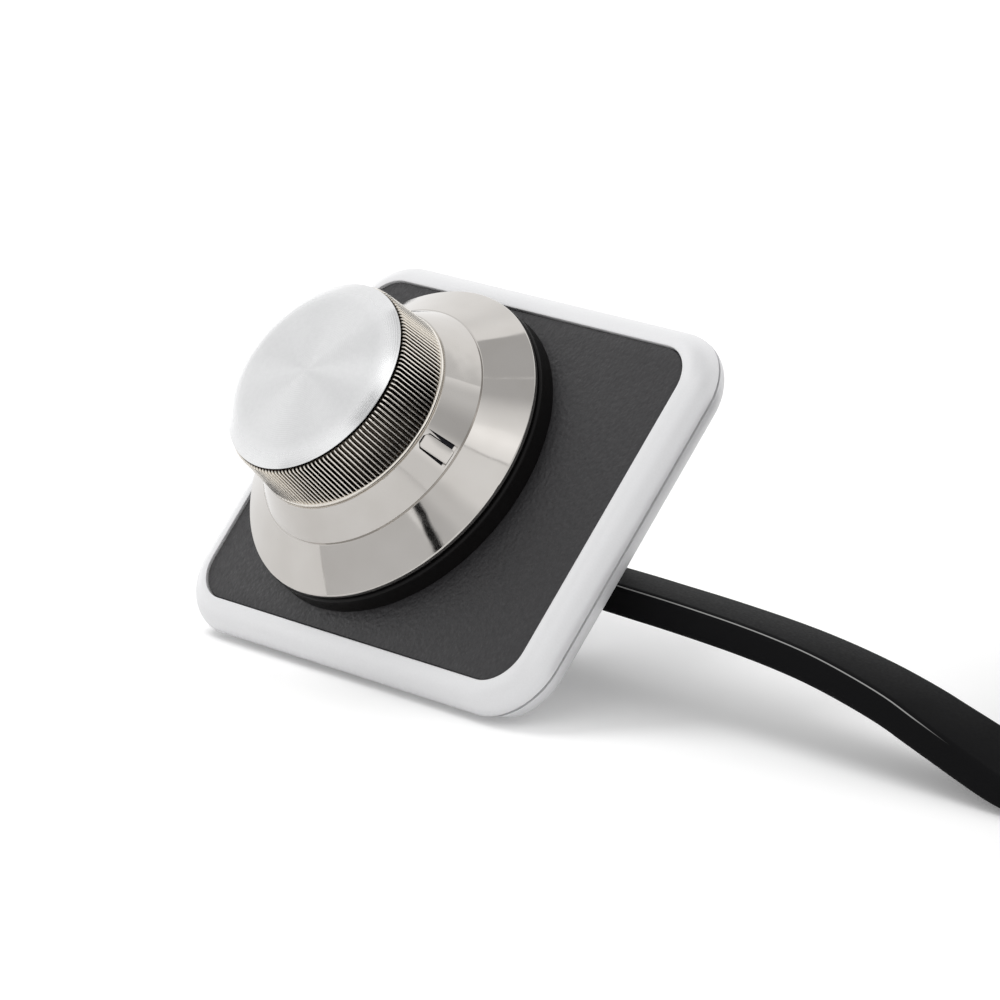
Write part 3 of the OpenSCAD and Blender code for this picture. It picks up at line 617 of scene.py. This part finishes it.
def rounded_rect(half_w, half_h, radius, steps):
    """Points of a rounded rectangle, the same count for every size."""
    out = []
    for k, (sx, sy) in enumerate([(1, 1), (-1, 1), (-1, -1), (1, -1)]):
        cx, cy = sx * (half_w - radius), sy * (half_h - radius)
        for i in range(steps + 1):
            a = math.pi / 2 * (k + i / steps)
            out.append((cx + radius * math.cos(a), cy + radius * math.sin(a)))
    return out


def loft(rings, wrap=False):
    """Faces through rings of the same count, with closed ends or from the last to the first."""
    n = len(rings[0])
    verts = [p for ring in rings for p in ring]
    faces = []
    last = len(rings) if wrap else len(rings) - 1
    for j in range(last):
        a, b = j * n, (j + 1) % len(rings) * n
        faces += [(a + i, a + (i + 1) % n, b + (i + 1) % n, b + i) for i in range(n)]
    if not wrap:
        faces.append(tuple(range(n - 1, -1, -1)))
        faces.append(tuple((len(rings) - 1) * n + i for i in range(n)))
    return verts, faces


# The knob


def index_matrix():
    back_r, back_z = JUNCTION_R - STEP, JUNCTION_Z + STEP
    lean = math.atan2(back_r - BARREL_R, BARREL_Z - back_z)
    length = math.hypot(back_r - BARREL_R, BARREL_Z - back_z)
    place = Matrix.Rotation(INDEX_AZ, 4, "Z") @ Matrix.Translation((back_r, 0, back_z))
    return place @ Matrix.Rotation(-lean, 4, "Y"), length


def index_outline(inset, length):
    """The bar's outline on the barrel, across and along it, with rounded corners."""
    half = INDEX_W / 2 - inset
    front, back = length - INDEX_FRONT - inset, INDEX_BACK + inset
    corners = [(half, front), (-half, front), (-half, back), (half, back)]
    return rounded(corners, [r - inset for r in INDEX_CORNERS])


def slot_outline(length):
    """The slot round the bar, wider at its back end, with a sliver of the barrel left in it."""
    half = INDEX_W / 2
    front, back = length - INDEX_FRONT + SLOT_NEAR, INDEX_BACK
    return [(half + SLOT_NEAR, front - INDEX_CORNERS[0]), (half - INDEX_CORNERS[0], front),
            (-half + INDEX_CORNERS[1], front), (-half - SLOT_NEAR, front - INDEX_CORNERS[1]),
            (-half - SLOT_LEFT, back), (half + SLOT_RIGHT, back),
            (half + SLOT_RIGHT - SLOT_NEAR, front), (half + SLOT_NEAR, (front + back) / 2)]


def index_prism(outline, heights):
    """An outline stood on the barrel, ring by ring, from (height, inset) pairs."""
    place, length = index_matrix()
    verts, faces = loft([[(high, y, z) for y, z in outline(inset, length)] for high, inset in heights])
    return [KNOB @ place @ Vector(v) for v in verts], faces


def index_cutter():
    heights = [(-SLOT_DEPTH, 0), (SLOT_OVER, 0)]
    verts, faces = index_prism(lambda inset, length: slot_outline(length), heights)
    made = mesh_object("index_slot", verts, faces)
    outward(made.data)
    return made


def knob_turned():
    """Skirt and barrel in one turned piece, hollow underneath as the CAD part is."""
    points = [
        (POCKET_R, SKIRT_Z), (SKIRT_R, SKIRT_Z), (SKIRT_R, SKIRT_Z + LIP_H),
        (JUNCTION_R, JUNCTION_Z), (JUNCTION_R - STEP, JUNCTION_Z), (JUNCTION_R - STEP, JUNCTION_Z + STEP),
        (BARREL_R, BARREL_Z), (SPIGOT_R, BARREL_Z), (SPIGOT_R, KNURL_TOP), (0, KNURL_TOP),
        (0, HUB_TOP), (HUB_R, HUB_TOP), (HUB_R, POCKET_Z), (POCKET_R, POCKET_Z),
    ]
    small = 0.04 * MM
    radii = [0, 0.05 * MM, 0.16 * MM, small, 0, 0, 0.06 * MM, 0, small, 0, 0, 0, 0, 0]
    return turned_piece("knob_turned", rounded(points, radii), "knob", "chrome", ["knob_body"],
                        720, index_cutter())


def index_marker():
    bevel, parts = 0.08 * MM, 4
    heights = [(-SLOT_DEPTH + 0.02 * MM, 0)]
    for i in range(parts + 1):
        a = math.pi / 2 * i / parts
        heights.append((INDEX_H - bevel + bevel * math.sin(a), bevel * (1 - math.cos(a))))
    verts, faces = index_prism(index_outline, heights)
    made = piece("index_marker", verts, faces, "knob", "chrome", ["index_bar"])
    return smooth(made, 35)


# Height of the knurl over its grooves at shares of a ridge's pitch
KNURL_SHARES = [
    (0, 0), (0.05, 0.6), (0.11, 0.92), (0.26, 1), (0.41, 0.92), (0.47, 0.6), (0.52, 0), (0.76, -0.05),
]
KNURL_DEPTH = 0.3 * MM
BEAD = 0.36 * MM
BEAD_SINK = 0.07 * MM
BEAD_STEPS = 8
NOSE = 0.32 * MM
NOSE_STEPS = 6
SPIGOT_GAP = 0.03 * MM


def knurl_ring():
    """The grip: fine straight ridges with rounded front ends, and a thin bead behind them."""
    def crest(z):
        return KNURL_BACK_R + (KNURL_FRONT_R - KNURL_BACK_R) * z / KNURL_LEN

    def lift(z):
        """How far the ridges stand out at a height, from 0 to 1, round at the front."""
        into = z - (KNURL_LEN - NOSE)
        return 1 if into <= 0 else math.sqrt(max(0, 1 - (into / NOSE) ** 2))

    rings = []

    def ring(z, height):
        out = []
        for i in range(KNURL_COUNT):
            for share, part in KNURL_SHARES:
                a = 2 * math.pi * (i + share) / KNURL_COUNT
                r = height(part)
                out.append((r * math.cos(a), r * math.sin(a), BARREL_Z + z))
        rings.append(out)

    ring(0, lambda part: SPIGOT_R + SPIGOT_GAP)
    for i in range(BEAD_STEPS + 1):
        a = math.pi * i / BEAD_STEPS
        ring(BEAD / 2 * (1 - math.cos(a)), lambda part, a=a: crest(0) - BEAD_SINK * (1 - math.sin(a)))
    for z in (BEAD + 0.02 * MM, BEAD + 0.1 * MM, KNURL_LEN / 2, KNURL_LEN - NOSE):
        ring(z, lambda part, z=z: crest(z) - KNURL_DEPTH * (1 - part))
    for i in range(1, NOSE_STEPS + 1):
        z = KNURL_LEN - NOSE * (1 - math.sin(math.pi / 2 * i / NOSE_STEPS))
        ring(z, lambda part, z=z: crest(z) - KNURL_DEPTH + KNURL_DEPTH * part * lift(z))
    ring(KNURL_LEN, lambda part: SPIGOT_R + SPIGOT_GAP)
    verts, faces = loft(rings, wrap=True)
    made = piece("knurl_ring", verts, faces, "knob", "knurl_metal", ["knurled_ring"], KNOB)
    return smooth(made, 50)


def cap_dome():
    flat_r = CAP_R - CAP_BAND
    band_z = CAP_Z + CAP_EDGE_H + CAP_BAND_H
    dome_r = (flat_r ** 2 + CAP_DOME_H ** 2) / 2 / CAP_DOME_H
    most = math.degrees(math.asin(flat_r / dome_r))
    top = arc((0, band_z + CAP_DOME_H - dome_r), dome_r, 90 - most, 90, 24)
    band = [(CAP_R - CAP_BAND * share, CAP_Z + CAP_EDGE_H + CAP_BAND_H * share * (1.5 - share / 2))
            for share in (i / 12 for i in range(12))]
    profile = [(0, CAP_Z), (CAP_R - 0.06 * MM, CAP_Z), (CAP_R, CAP_Z + 0.05 * MM)] + band + top[:-1]
    profile.append((0, band_z + CAP_DOME_H))
    return turned_piece("cap_dome", profile, "knob", "cap_aluminium", ["knob_cap"], 256, exact=False)


def ring_turned():
    r, edge = 0.25 * MM, 0.05 * MM
    points = [(RING_HOLE, 0), (RING_R, 0), (RING_R, RING_H), (RING_HOLE, RING_H)]
    profile = rounded(points, [edge, edge, r, edge])
    return turned_piece("ring_turned", profile, "base", "ring_black", ["base_ring"])


# The plate


def plate_ring(inset, z, steps=16):
    half_w, half_h = PANEL_W / 2 + RIM - inset, PANEL_H / 2 + RIM - inset
    return [(x, y, z) for x, y in rounded_rect(half_w, half_h, PANEL_CORNER + RIM - inset, steps)]


def frame_front():
    """The front half of the frame: a round rim that falls to the panel's pocket."""
    rim = [(RIM * (1 - math.cos(a)), SEAM_Z + RIM * math.sin(a))
           for a in (math.pi / 2 * i / 16 for i in range(17))]
    lip = 0.1 * MM
    rim[-1] = (RIM - lip, CREST - 0.002 * MM)
    rim += [(RIM - lip * 0.4, CREST - lip * 0.25), (RIM, CREST - lip)]
    rim.append((RIM, POCKET_FLOOR))
    seam = SEAM_Z + SEAM_GAP
    groove = [(SEAM_DEPTH, SEAM_Z), (SEAM_DEPTH, seam), (0.005 * MM, seam)]
    rim = groove + [row for row in rim if row[1] > seam]
    verts, faces = loft([plate_ring(i, z) for i, z in rim])
    made = piece("frame_front", verts, faces, "base", "satin_frame", ["front_bezel"], PLATE)
    return smooth(made, 40)


def panel_plate():
    """The dark panel, with the fine gap round it in which the frame's pocket shows black."""
    gap, edge = PANEL_GAP, 0.08 * MM
    rows = [(gap, -PANEL_T), (gap, -edge), (gap + edge * 0.3, -edge * 0.3), (gap + edge, 0)]
    verts, faces = loft([plate_ring(RIM + i, z) for i, z in rows])
    made = piece("panel_plate", verts, faces, "base", "panel_black", ["face_panel"], PLATE)
    return smooth(made, 50)


# The cord


def eased(route, parts=4):
    """A smooth line through a route's points."""
    out = []
    for i in range(len(route) - 1):
        a, b = route[max(i - 1, 0)], route[i]
        c, d = route[i + 1], route[min(i + 2, len(route) - 1)]
        for j in range(parts):
            t = j / parts
            out.append([0.5 * (2 * q + (r - p) * t + (2 * p - 5 * q + 4 * r - s) * t ** 2
                               + (3 * q - p - 3 * r + s) * t ** 3) for p, q, r, s in zip(a, b, c, d)])
    out.append(list(route[-1]))
    return [(Vector(p[:3]) * MM, math.radians(p[3])) for p in out]


def coil_points():
    """The coil: in, a half turn of climbing, and out again, as the source has it."""
    total = 2 * COIL_TURNS + 0.5
    out = []
    for i in range(int(total * COIL_RINGS) + 1):
        t = i / COIL_RINGS
        s = t - COIL_TURNS - 0.5
        back = COIL_TURN_R + COIL_PITCH * (2 * s if s < 0.5 else s + 0.5)
        r = COIL_OUT_R - COIL_PITCH * t if s <= 0 else back
        climb = max(0, min(1, 4 * (s + 0.25)))
        z = COIL_LOW_Z + COIL_STEP * climb * climb * (3 - 2 * climb)
        a = 2 * math.pi * (t - 0.25)
        x, y = COIL_CENTRE[0] + r * math.cos(a), COIL_CENTRE[1] + r * math.sin(a)
        out.append((Vector((x, y, z)), ON_EDGE))
    return out


def cord_line():
    return eased(LEAD_ROUTE) + coil_points()[1:-1] + eased(TAIL_ROUTE)


def free_cord(on_it):
    """The whole cord in one piece; the separate pieces passed in on_it are not used."""
    line = cord_line()
    outline = rounded_rect(CORD_W / 2, CORD_T / 2, CORD_CORNER, CORNER_STEPS)
    rings = []
    for i, (p, roll) in enumerate(line):
        ahead = (line[min(i + 1, len(line) - 1)][0] - line[max(i - 1, 0)][0]).normalized()
        level = Vector((-ahead.y, ahead.x, 0)).normalized()
        up = ahead.cross(level)
        rings.append([p + level * (x * math.cos(roll) - y * math.sin(roll))
                      + up * (x * math.sin(roll) + y * math.cos(roll)) for x, y in outline])
    verts, faces = loft(rings)
    solids = ["cable_lead", "cable_coil", "cable_tail"]
    made = smooth(piece("free_cord", verts, faces, "base", "cord_jacket", solids), 60)
    # Painted highlight: the light line on one corner of the outline, fading out along the lead.
    edge_highlight = made.data.attributes.new("painted_highlight_line", "FLOAT", "POINT")
    for i, point in enumerate(edge_highlight.data):
        left = (LINE_END - i / len(outline)) / (LINE_END - LINE_FULL)
        point.value = max(0, min(1, left)) if i % len(outline) == LINE_CORNER else 0
    return made


def relief_ribbed():
    """The cord's strain relief, with a flange on each side of the wall and ribs outside."""
    rows = [(-HOUSING_WALL - FLANGE_T, FLANGE_OUT), (-HOUSING_WALL, FLANGE_OUT), (-HOUSING_WALL, 0), (0, 0),
            (0, FLANGE_OUT), (FLANGE_T - 0.15, FLANGE_OUT), (FLANGE_T - 0.04, FLANGE_OUT - 0.05),
            (FLANGE_T, FLANGE_OUT - 0.15)]
    for i in range(RIBS):
        for share, depth in RIB_OUTLINE:
            along = (i + share) / RIBS
            rows.append((FLANGE_T + RELIEF_LEN * along, -RELIEF_TAPER * along - depth))
    half_w, half_h = CORD_W / MM / 2 + RELIEF_WALL, CORD_T / MM / 2 + RELIEF_WALL
    rings = [[(x, y, z) for x, y in rounded_rect(half_w + out, half_h + out, RELIEF_ROUND + out, 6)]
             for z, out in rows]
    verts, faces = loft(rings)
    place = Matrix.Translation(Vector(EXIT_PLACE) * MM) @ Matrix.Rotation(EXIT_ROLL, 4, "X")
    # The cord's width lies along y, its thickness along z and its way out along x
    place = place @ Matrix(((0, 0, 1, 0), (1, 0, 0, 0), (0, 1, 0, 0), (0, 0, 0, 1))) @ IN_MM
    return smooth(piece("relief_ribbed", verts, faces, "base", "relief_rubber", ["strain_relief"], place), 35)


def strap_layer(inner, outer, first, last):
    """A strip along the strap's loop between two of its points, and two distances from its inside."""
    half = (STRAP_HIGH - STRAP_LOW) / 2
    middle = (STRAP_HIGH + STRAP_LOW) / 2
    way = []
    for i, (x, z) in enumerate(rounded_rect(half.x - STRAP_T, half.y - STRAP_T, STRAP_ROUND, STRAP_STEPS)):
        corner, step = divmod(i, STRAP_STEPS + 1)
        a = math.pi / 2 * (corner + step / STRAP_STEPS)
        way.append((middle + Vector((x, z)), Vector((math.cos(a), math.sin(a)))))
    section = rounded_rect(STRAP_W / 2, (outer - inner) / 2, 0.14, 3)
    rings = []
    for p, out in (way + way)[first:last]:
        places = [(p + out * ((inner + outer) / 2 + u), v) for v, u in section]
        rings.append([(q.x, STRAP_Y + v, q.y) for q, v in places])
    return loft(rings)


def strap_wrapped():
    """The strap round the coil: a loop, with its free end laid back over most of it."""
    corner = STRAP_STEPS + 1
    verts, faces = strap_layer(0, STRAP_INNER_T, 3 * corner, 7 * corner + 1)
    more, sides = strap_layer(STRAP_INNER_T, STRAP_T, 3 * corner + 3, 6 * corner + 2)
    faces = faces + [tuple(i + len(verts) for i in face) for face in sides]
    made = piece("strap_wrapped", verts + more, faces, "base", "tie_strap", ["cable_tie"], IN_MM)
    return smooth(made, 40)


def at_plug():
    return Matrix.Translation(Vector(PLUG_END) * MM) @ Matrix.Rotation(math.pi, 4, "Z") @ IN_MM


def plug_rings(rows):
    """Rings across the plug, from rows of its length, half width, low and high edge and corner."""
    rings = []
    for x, half, low, high, corner in rows:
        outline = rounded_rect(half, (high - low) / 2, corner, 4)
        rings.append([(x, y, (low + high) / 2 + z) for y, z in outline])
    return rings


def box_faces(start):
    corners = ((0, 1, 3, 2), (4, 6, 7, 5), (0, 4, 5, 1), (2, 3, 7, 6), (0, 2, 6, 4), (1, 5, 7, 3))
    return [tuple(start + i for i in face) for face in corners]


def plug_moulded():
    """The modular plug: a clear body, and open slots over the contacts."""
    half, step = PLUG_W / 2, PLUG_H - 0.4
    body = [(0, half - 0.25, 0.25, step - 0.25, 0.3), (0.25, half, 0, step, 0.4),
            (3.6, half, 0, step, 0.4), (4, half, 0, PLUG_H, 0.4),
            (PLUG_LEN - 0.5, half, 0, PLUG_H, 0.4), (PLUG_LEN, half - 0.35, 0.35, PLUG_H - 0.35, 0.3)]
    verts, faces = loft(plug_rings(body))
    made = piece("plug_moulded", verts, faces, "base", "plug_clear", ["plug_body"], at_plug())
    slots, sides = [], []
    for i in range(CONTACTS):
        y = (i - (CONTACTS - 1) / 2) * CONTACT_PITCH
        sides += box_faces(len(slots))
        slots += [(x, y + side * CONTACT_SLOT_W / 2, z) for x in CONTACT_SLOT
                  for side in (-1, 1) for z in (-1, CONTACT_SLOT_H)]
    cutter = mesh_object("plug_slots", slots, sides, at_plug())
    outward(cutter.data)
    apply_cut(made, cutter)
    return smooth(made, 35)


def plug_latch():
    """The latch rises backwards from the nose, with the two shoulders that lock it."""
    rows = []
    half, wide = LATCH_W / 2, SHOULDER_W / 2
    outline = [(0, half - 0.1, LATCH_T - 0.1), (0.06, half, LATCH_T), (0.34, half, LATCH_T),
               (0.35, wide, LATCH_T), (0.5, wide, LATCH_T), (0.51, half, LATCH_T),
               (0.97, half - 0.3, LATCH_T), (1, half - 0.4, LATCH_T - 0.2)]
    for share, across, thick in outline:
        root = 0.3 if share == 0 else 0
        low = PLUG_H + 0.02 + LATCH_RISE * share - root
        rows.append((PLUG_LEN * (1 - LATCH_SHARE * share) - 0.3, across, low, low + thick, 0.2))
    verts, faces = loft(plug_rings(rows))
    return smooth(piece("plug_latch", verts, faces, "base", "plug_clear", ["plug_body"], at_plug()), 35)


# The studio

# Two cards close to the knob, in millimetres: an upright bar and a sheet just over the floor
BAR_PLACE = Vector((20.7, -62.7, 27.2))
BAR_W, BAR_H = 3.6, 24
BAR_AZIMUTH = -75.4
BAR_VALUE = 0.01
SHEET_CORNERS = [(-21.9, -39, 0.02), (-2900, -2917, 0.02), (600, -2917, 0.02), (3, -39, 0.02)]
SHEET_VALUE = 0.77
# The floor's own light, and the share of it that polish sees
FLOOR_FILL = 0.17
FLOOR_GLOSS = 0.3
# The one lamp, which polish doesn't see
KEY_PLACE = (-0.45, -0.1, 0.75)
KEY_AIM = (0, 0, 0.01)
KEY_SIZE = 0.45
KEY_POWER = 2.4


def floor():
    """The pale floor, with a little light of its own in its shadows."""
    reach = 3
    corners = [(-reach, -reach, 0), (reach, -reach, 0), (reach, reach, 0), (-reach, reach, 0)]
    made = mesh_object("floor", corners, [(0, 1, 2, 3)])
    s = Shader("floor", (0.95, 0.95, 0.95), 0.9, Specular_IOR_Level=0.0)
    s.bsdf.inputs["Emission Color"].default_value = (1, 1, 1, 1)
    path = s.add("ShaderNodeLightPath").outputs
    clear = s.math("MAXIMUM", path["Is Camera Ray"], path["Is Transmission Ray"])
    seen = s.math("MULTIPLY_ADD", path["Is Glossy Ray"], FLOOR_GLOSS, clear)
    s.link(s.math("MULTIPLY", seen, FLOOR_FILL), s.bsdf.inputs["Emission Strength"])
    made.data.materials.append(s.material)


def near_card(name, corners, value):
    """A card close to the knob, which only the polish shows; its corners are in millimetres."""
    made = mesh_object(name, corners, [(0, 1, 2, 3)], IN_MM)
    s = Shader(name, (0, 0, 0), 1.0, Specular_IOR_Level=0.0, Emission_Strength=value)
    s.bsdf.inputs["Emission Color"].default_value = (1, 1, 1, 1)
    made.data.materials.append(s.material)
    for rays in ("camera", "diffuse", "shadow", "transmission"):
        setattr(made, "visible_" + rays, False)


def black_bar():
    """The narrow upright card whose image is the skirt's dark band."""
    side = Vector((0, 0, 1)).cross(direction(BAR_AZIMUTH, 0)) * BAR_W / 2
    up = Vector((0, 0, BAR_H / 2))
    corners = [BAR_PLACE + a * side + b * up for a, b in ((-1, -1), (1, -1), (1, 1), (-1, 1))]
    near_card("black_bar", corners, BAR_VALUE)


def direction(azimuth, elevation):
    a, e = math.radians(azimuth), math.radians(elevation)
    return Vector((math.cos(a) * math.cos(e), math.sin(a) * math.cos(e), math.sin(e)))


class Sky(Nodes):
    """The studio that polished metal shows: a white tent with soft cards on it."""

    def __init__(self, tree):
        super().__init__(tree)
        self.way = self.add("ShaderNodeTexCoord").outputs["Generated"]

    def dot(self, way):
        node = self.add("ShaderNodeVectorMath", operation="DOT_PRODUCT")
        self.link(self.way, node.inputs[0])
        node.inputs[1].default_value = way
        return node.outputs["Value"]

    def within(self, value, half, soft):
        """1 round zero, and softly down to 0 at that distance from it."""
        return self.spread(self.math("ABSOLUTE", value), half - soft, half + soft, 1, 0, smooth=True)

    def card(self, azimuth, elevation, half_w, half_h, soft, roll=0):
        """Mask of a flat card seen in that direction; its half sizes are in degrees."""
        ahead = direction(azimuth, elevation)
        side = Vector((0, 0, 1)).cross(ahead).normalized()
        up = ahead.cross(side)
        turn_by = Matrix.Rotation(math.radians(roll), 3, ahead)
        side, up = turn_by @ side, turn_by @ up
        depth = self.dot(ahead)
        safe = self.math("MAXIMUM", depth, 0.01)
        x = self.math("DIVIDE", self.dot(side), safe)
        y = self.math("DIVIDE", self.dot(up), safe)
        wide, high = math.tan(math.radians(half_w)), math.tan(math.radians(half_h))
        edge = math.tan(math.radians(soft))
        inside = self.math("MULTIPLY", self.within(x, wide, edge), self.within(y, high, edge))
        return self.math("MULTIPLY", inside, self.math("GREATER_THAN", depth, 0.01))

    def lay(self, below, value, mask):
        """That value over what is below, by a mask."""
        node = self.add("ShaderNodeMix", data_type="FLOAT")
        self.link(mask, node.inputs["Factor"])
        if isinstance(below, float):
            node.inputs["A"].default_value = below
        else:
            self.link(below, node.inputs["A"])
        node.inputs["B"].default_value = value
        return node.outputs["Result"]


# What the polished metal shows: brightness, azimuth, elevation, half width, half height,
# softness and roll of each card, all but the first in degrees
CARDS = [
    (2.2, 173, 15, 14, 14, 8, 0),
    (1.0, -155, 38, 40, 30, 8, 0),
    (0.96, -45, 0, 26, 14, 3, 0),
    (0.8, 18, 46, 32, 13, 5, 0),
    (0.8, 88, 68.2, 18, 12, 0.5, -20),
    (0.6, 4, 36, 14, 11, 7, 0),
    (0.62, 60, 84, 26, 24, 1.2, 0),
    (0.95, 77, 87.1, 1.5, 0.15, 0.1, -73),
    (1.0, -38, 70, 18, 6, 6, 0),
    (1.5, -46, 60, 16, 5, 7, 8),
    (1.08, -52, 41.5, 18, 9.7, 0.5, 10),
    (0.6, -50.5, 51.3, 4, 0.25, 0.15, 10),
    (0.86, -64, 25, 14, 7, 3, 0),
    (0.7, -71, 19.5, 5, 3.5, 2.5, 0),
    (0.77, -101, 2, 25, 14, 1, 0),
    (1.8, -116, 60, 7, 4, 4, 0),
    (0.3, -96, 45, 9, 8, 4, 0),
]
TENT = 1.15
AMBIENT = 0.78


def world():
    sky_world = bpy.data.worlds.new("studio")
    bpy.context.scene.world = sky_world
    sky_world.use_nodes = True
    tree = sky_world.node_tree
    sky = Sky(tree)
    seen = TENT
    for value, azimuth, elevation, half_w, half_h, soft, roll in CARDS:
        seen = sky.lay(seen, value, sky.card(azimuth, elevation, half_w, half_h, soft, roll))
    path = sky.add("ShaderNodeLightPath").outputs
    white = sky.math("MAXIMUM", path["Is Camera Ray"], path["Is Transmission Ray"])
    glossy = sky.lay(AMBIENT, 0.0, path["Is Glossy Ray"])
    shown = sky.math("ADD", glossy, sky.math("MULTIPLY", seen, path["Is Glossy Ray"]))
    strength = sky.lay(shown, 1.0, white)
    back = tree.nodes["Background"]
    back.inputs["Color"].default_value = (1, 1, 1, 1)
    tree.links.new(strength, back.inputs["Strength"])


def key_lamp():
    data = bpy.data.lights.new("key", "AREA")
    data.shape = "DISK"
    data.size = KEY_SIZE
    data.energy = KEY_POWER
    made = bpy.data.objects.new("key", data)
    made.location = KEY_PLACE
    made.rotation_euler = (Vector(KEY_AIM) - Vector(KEY_PLACE)).to_track_quat("-Z", "Y").to_euler()
    bpy.context.collection.objects.link(made)
    made.visible_glossy = False


def studio():
    floor()
    black_bar()
    near_card("grey_sheet", SHEET_CORNERS, SHEET_VALUE)
    world()
    key_lamp()
    bpy.context.scene.view_settings.view_transform = "Standard"


camera()
LOOKS = looks()
free_cord([strap_wrapped(), plug_moulded(), plug_latch(), "plug_contacts"])
relief_ribbed()
knob_turned()
index_marker()
knurl_ring()
cap_dome()
ring_turned()
frame_front()
panel_plate()

for part in frame["record"]["subparts"]:
    node = NODES[part["node"]]
    if not node.hide_render:
        node.data.materials.clear()
        node.data.materials.append(LOOKS[part["material_slot"]])

studio()
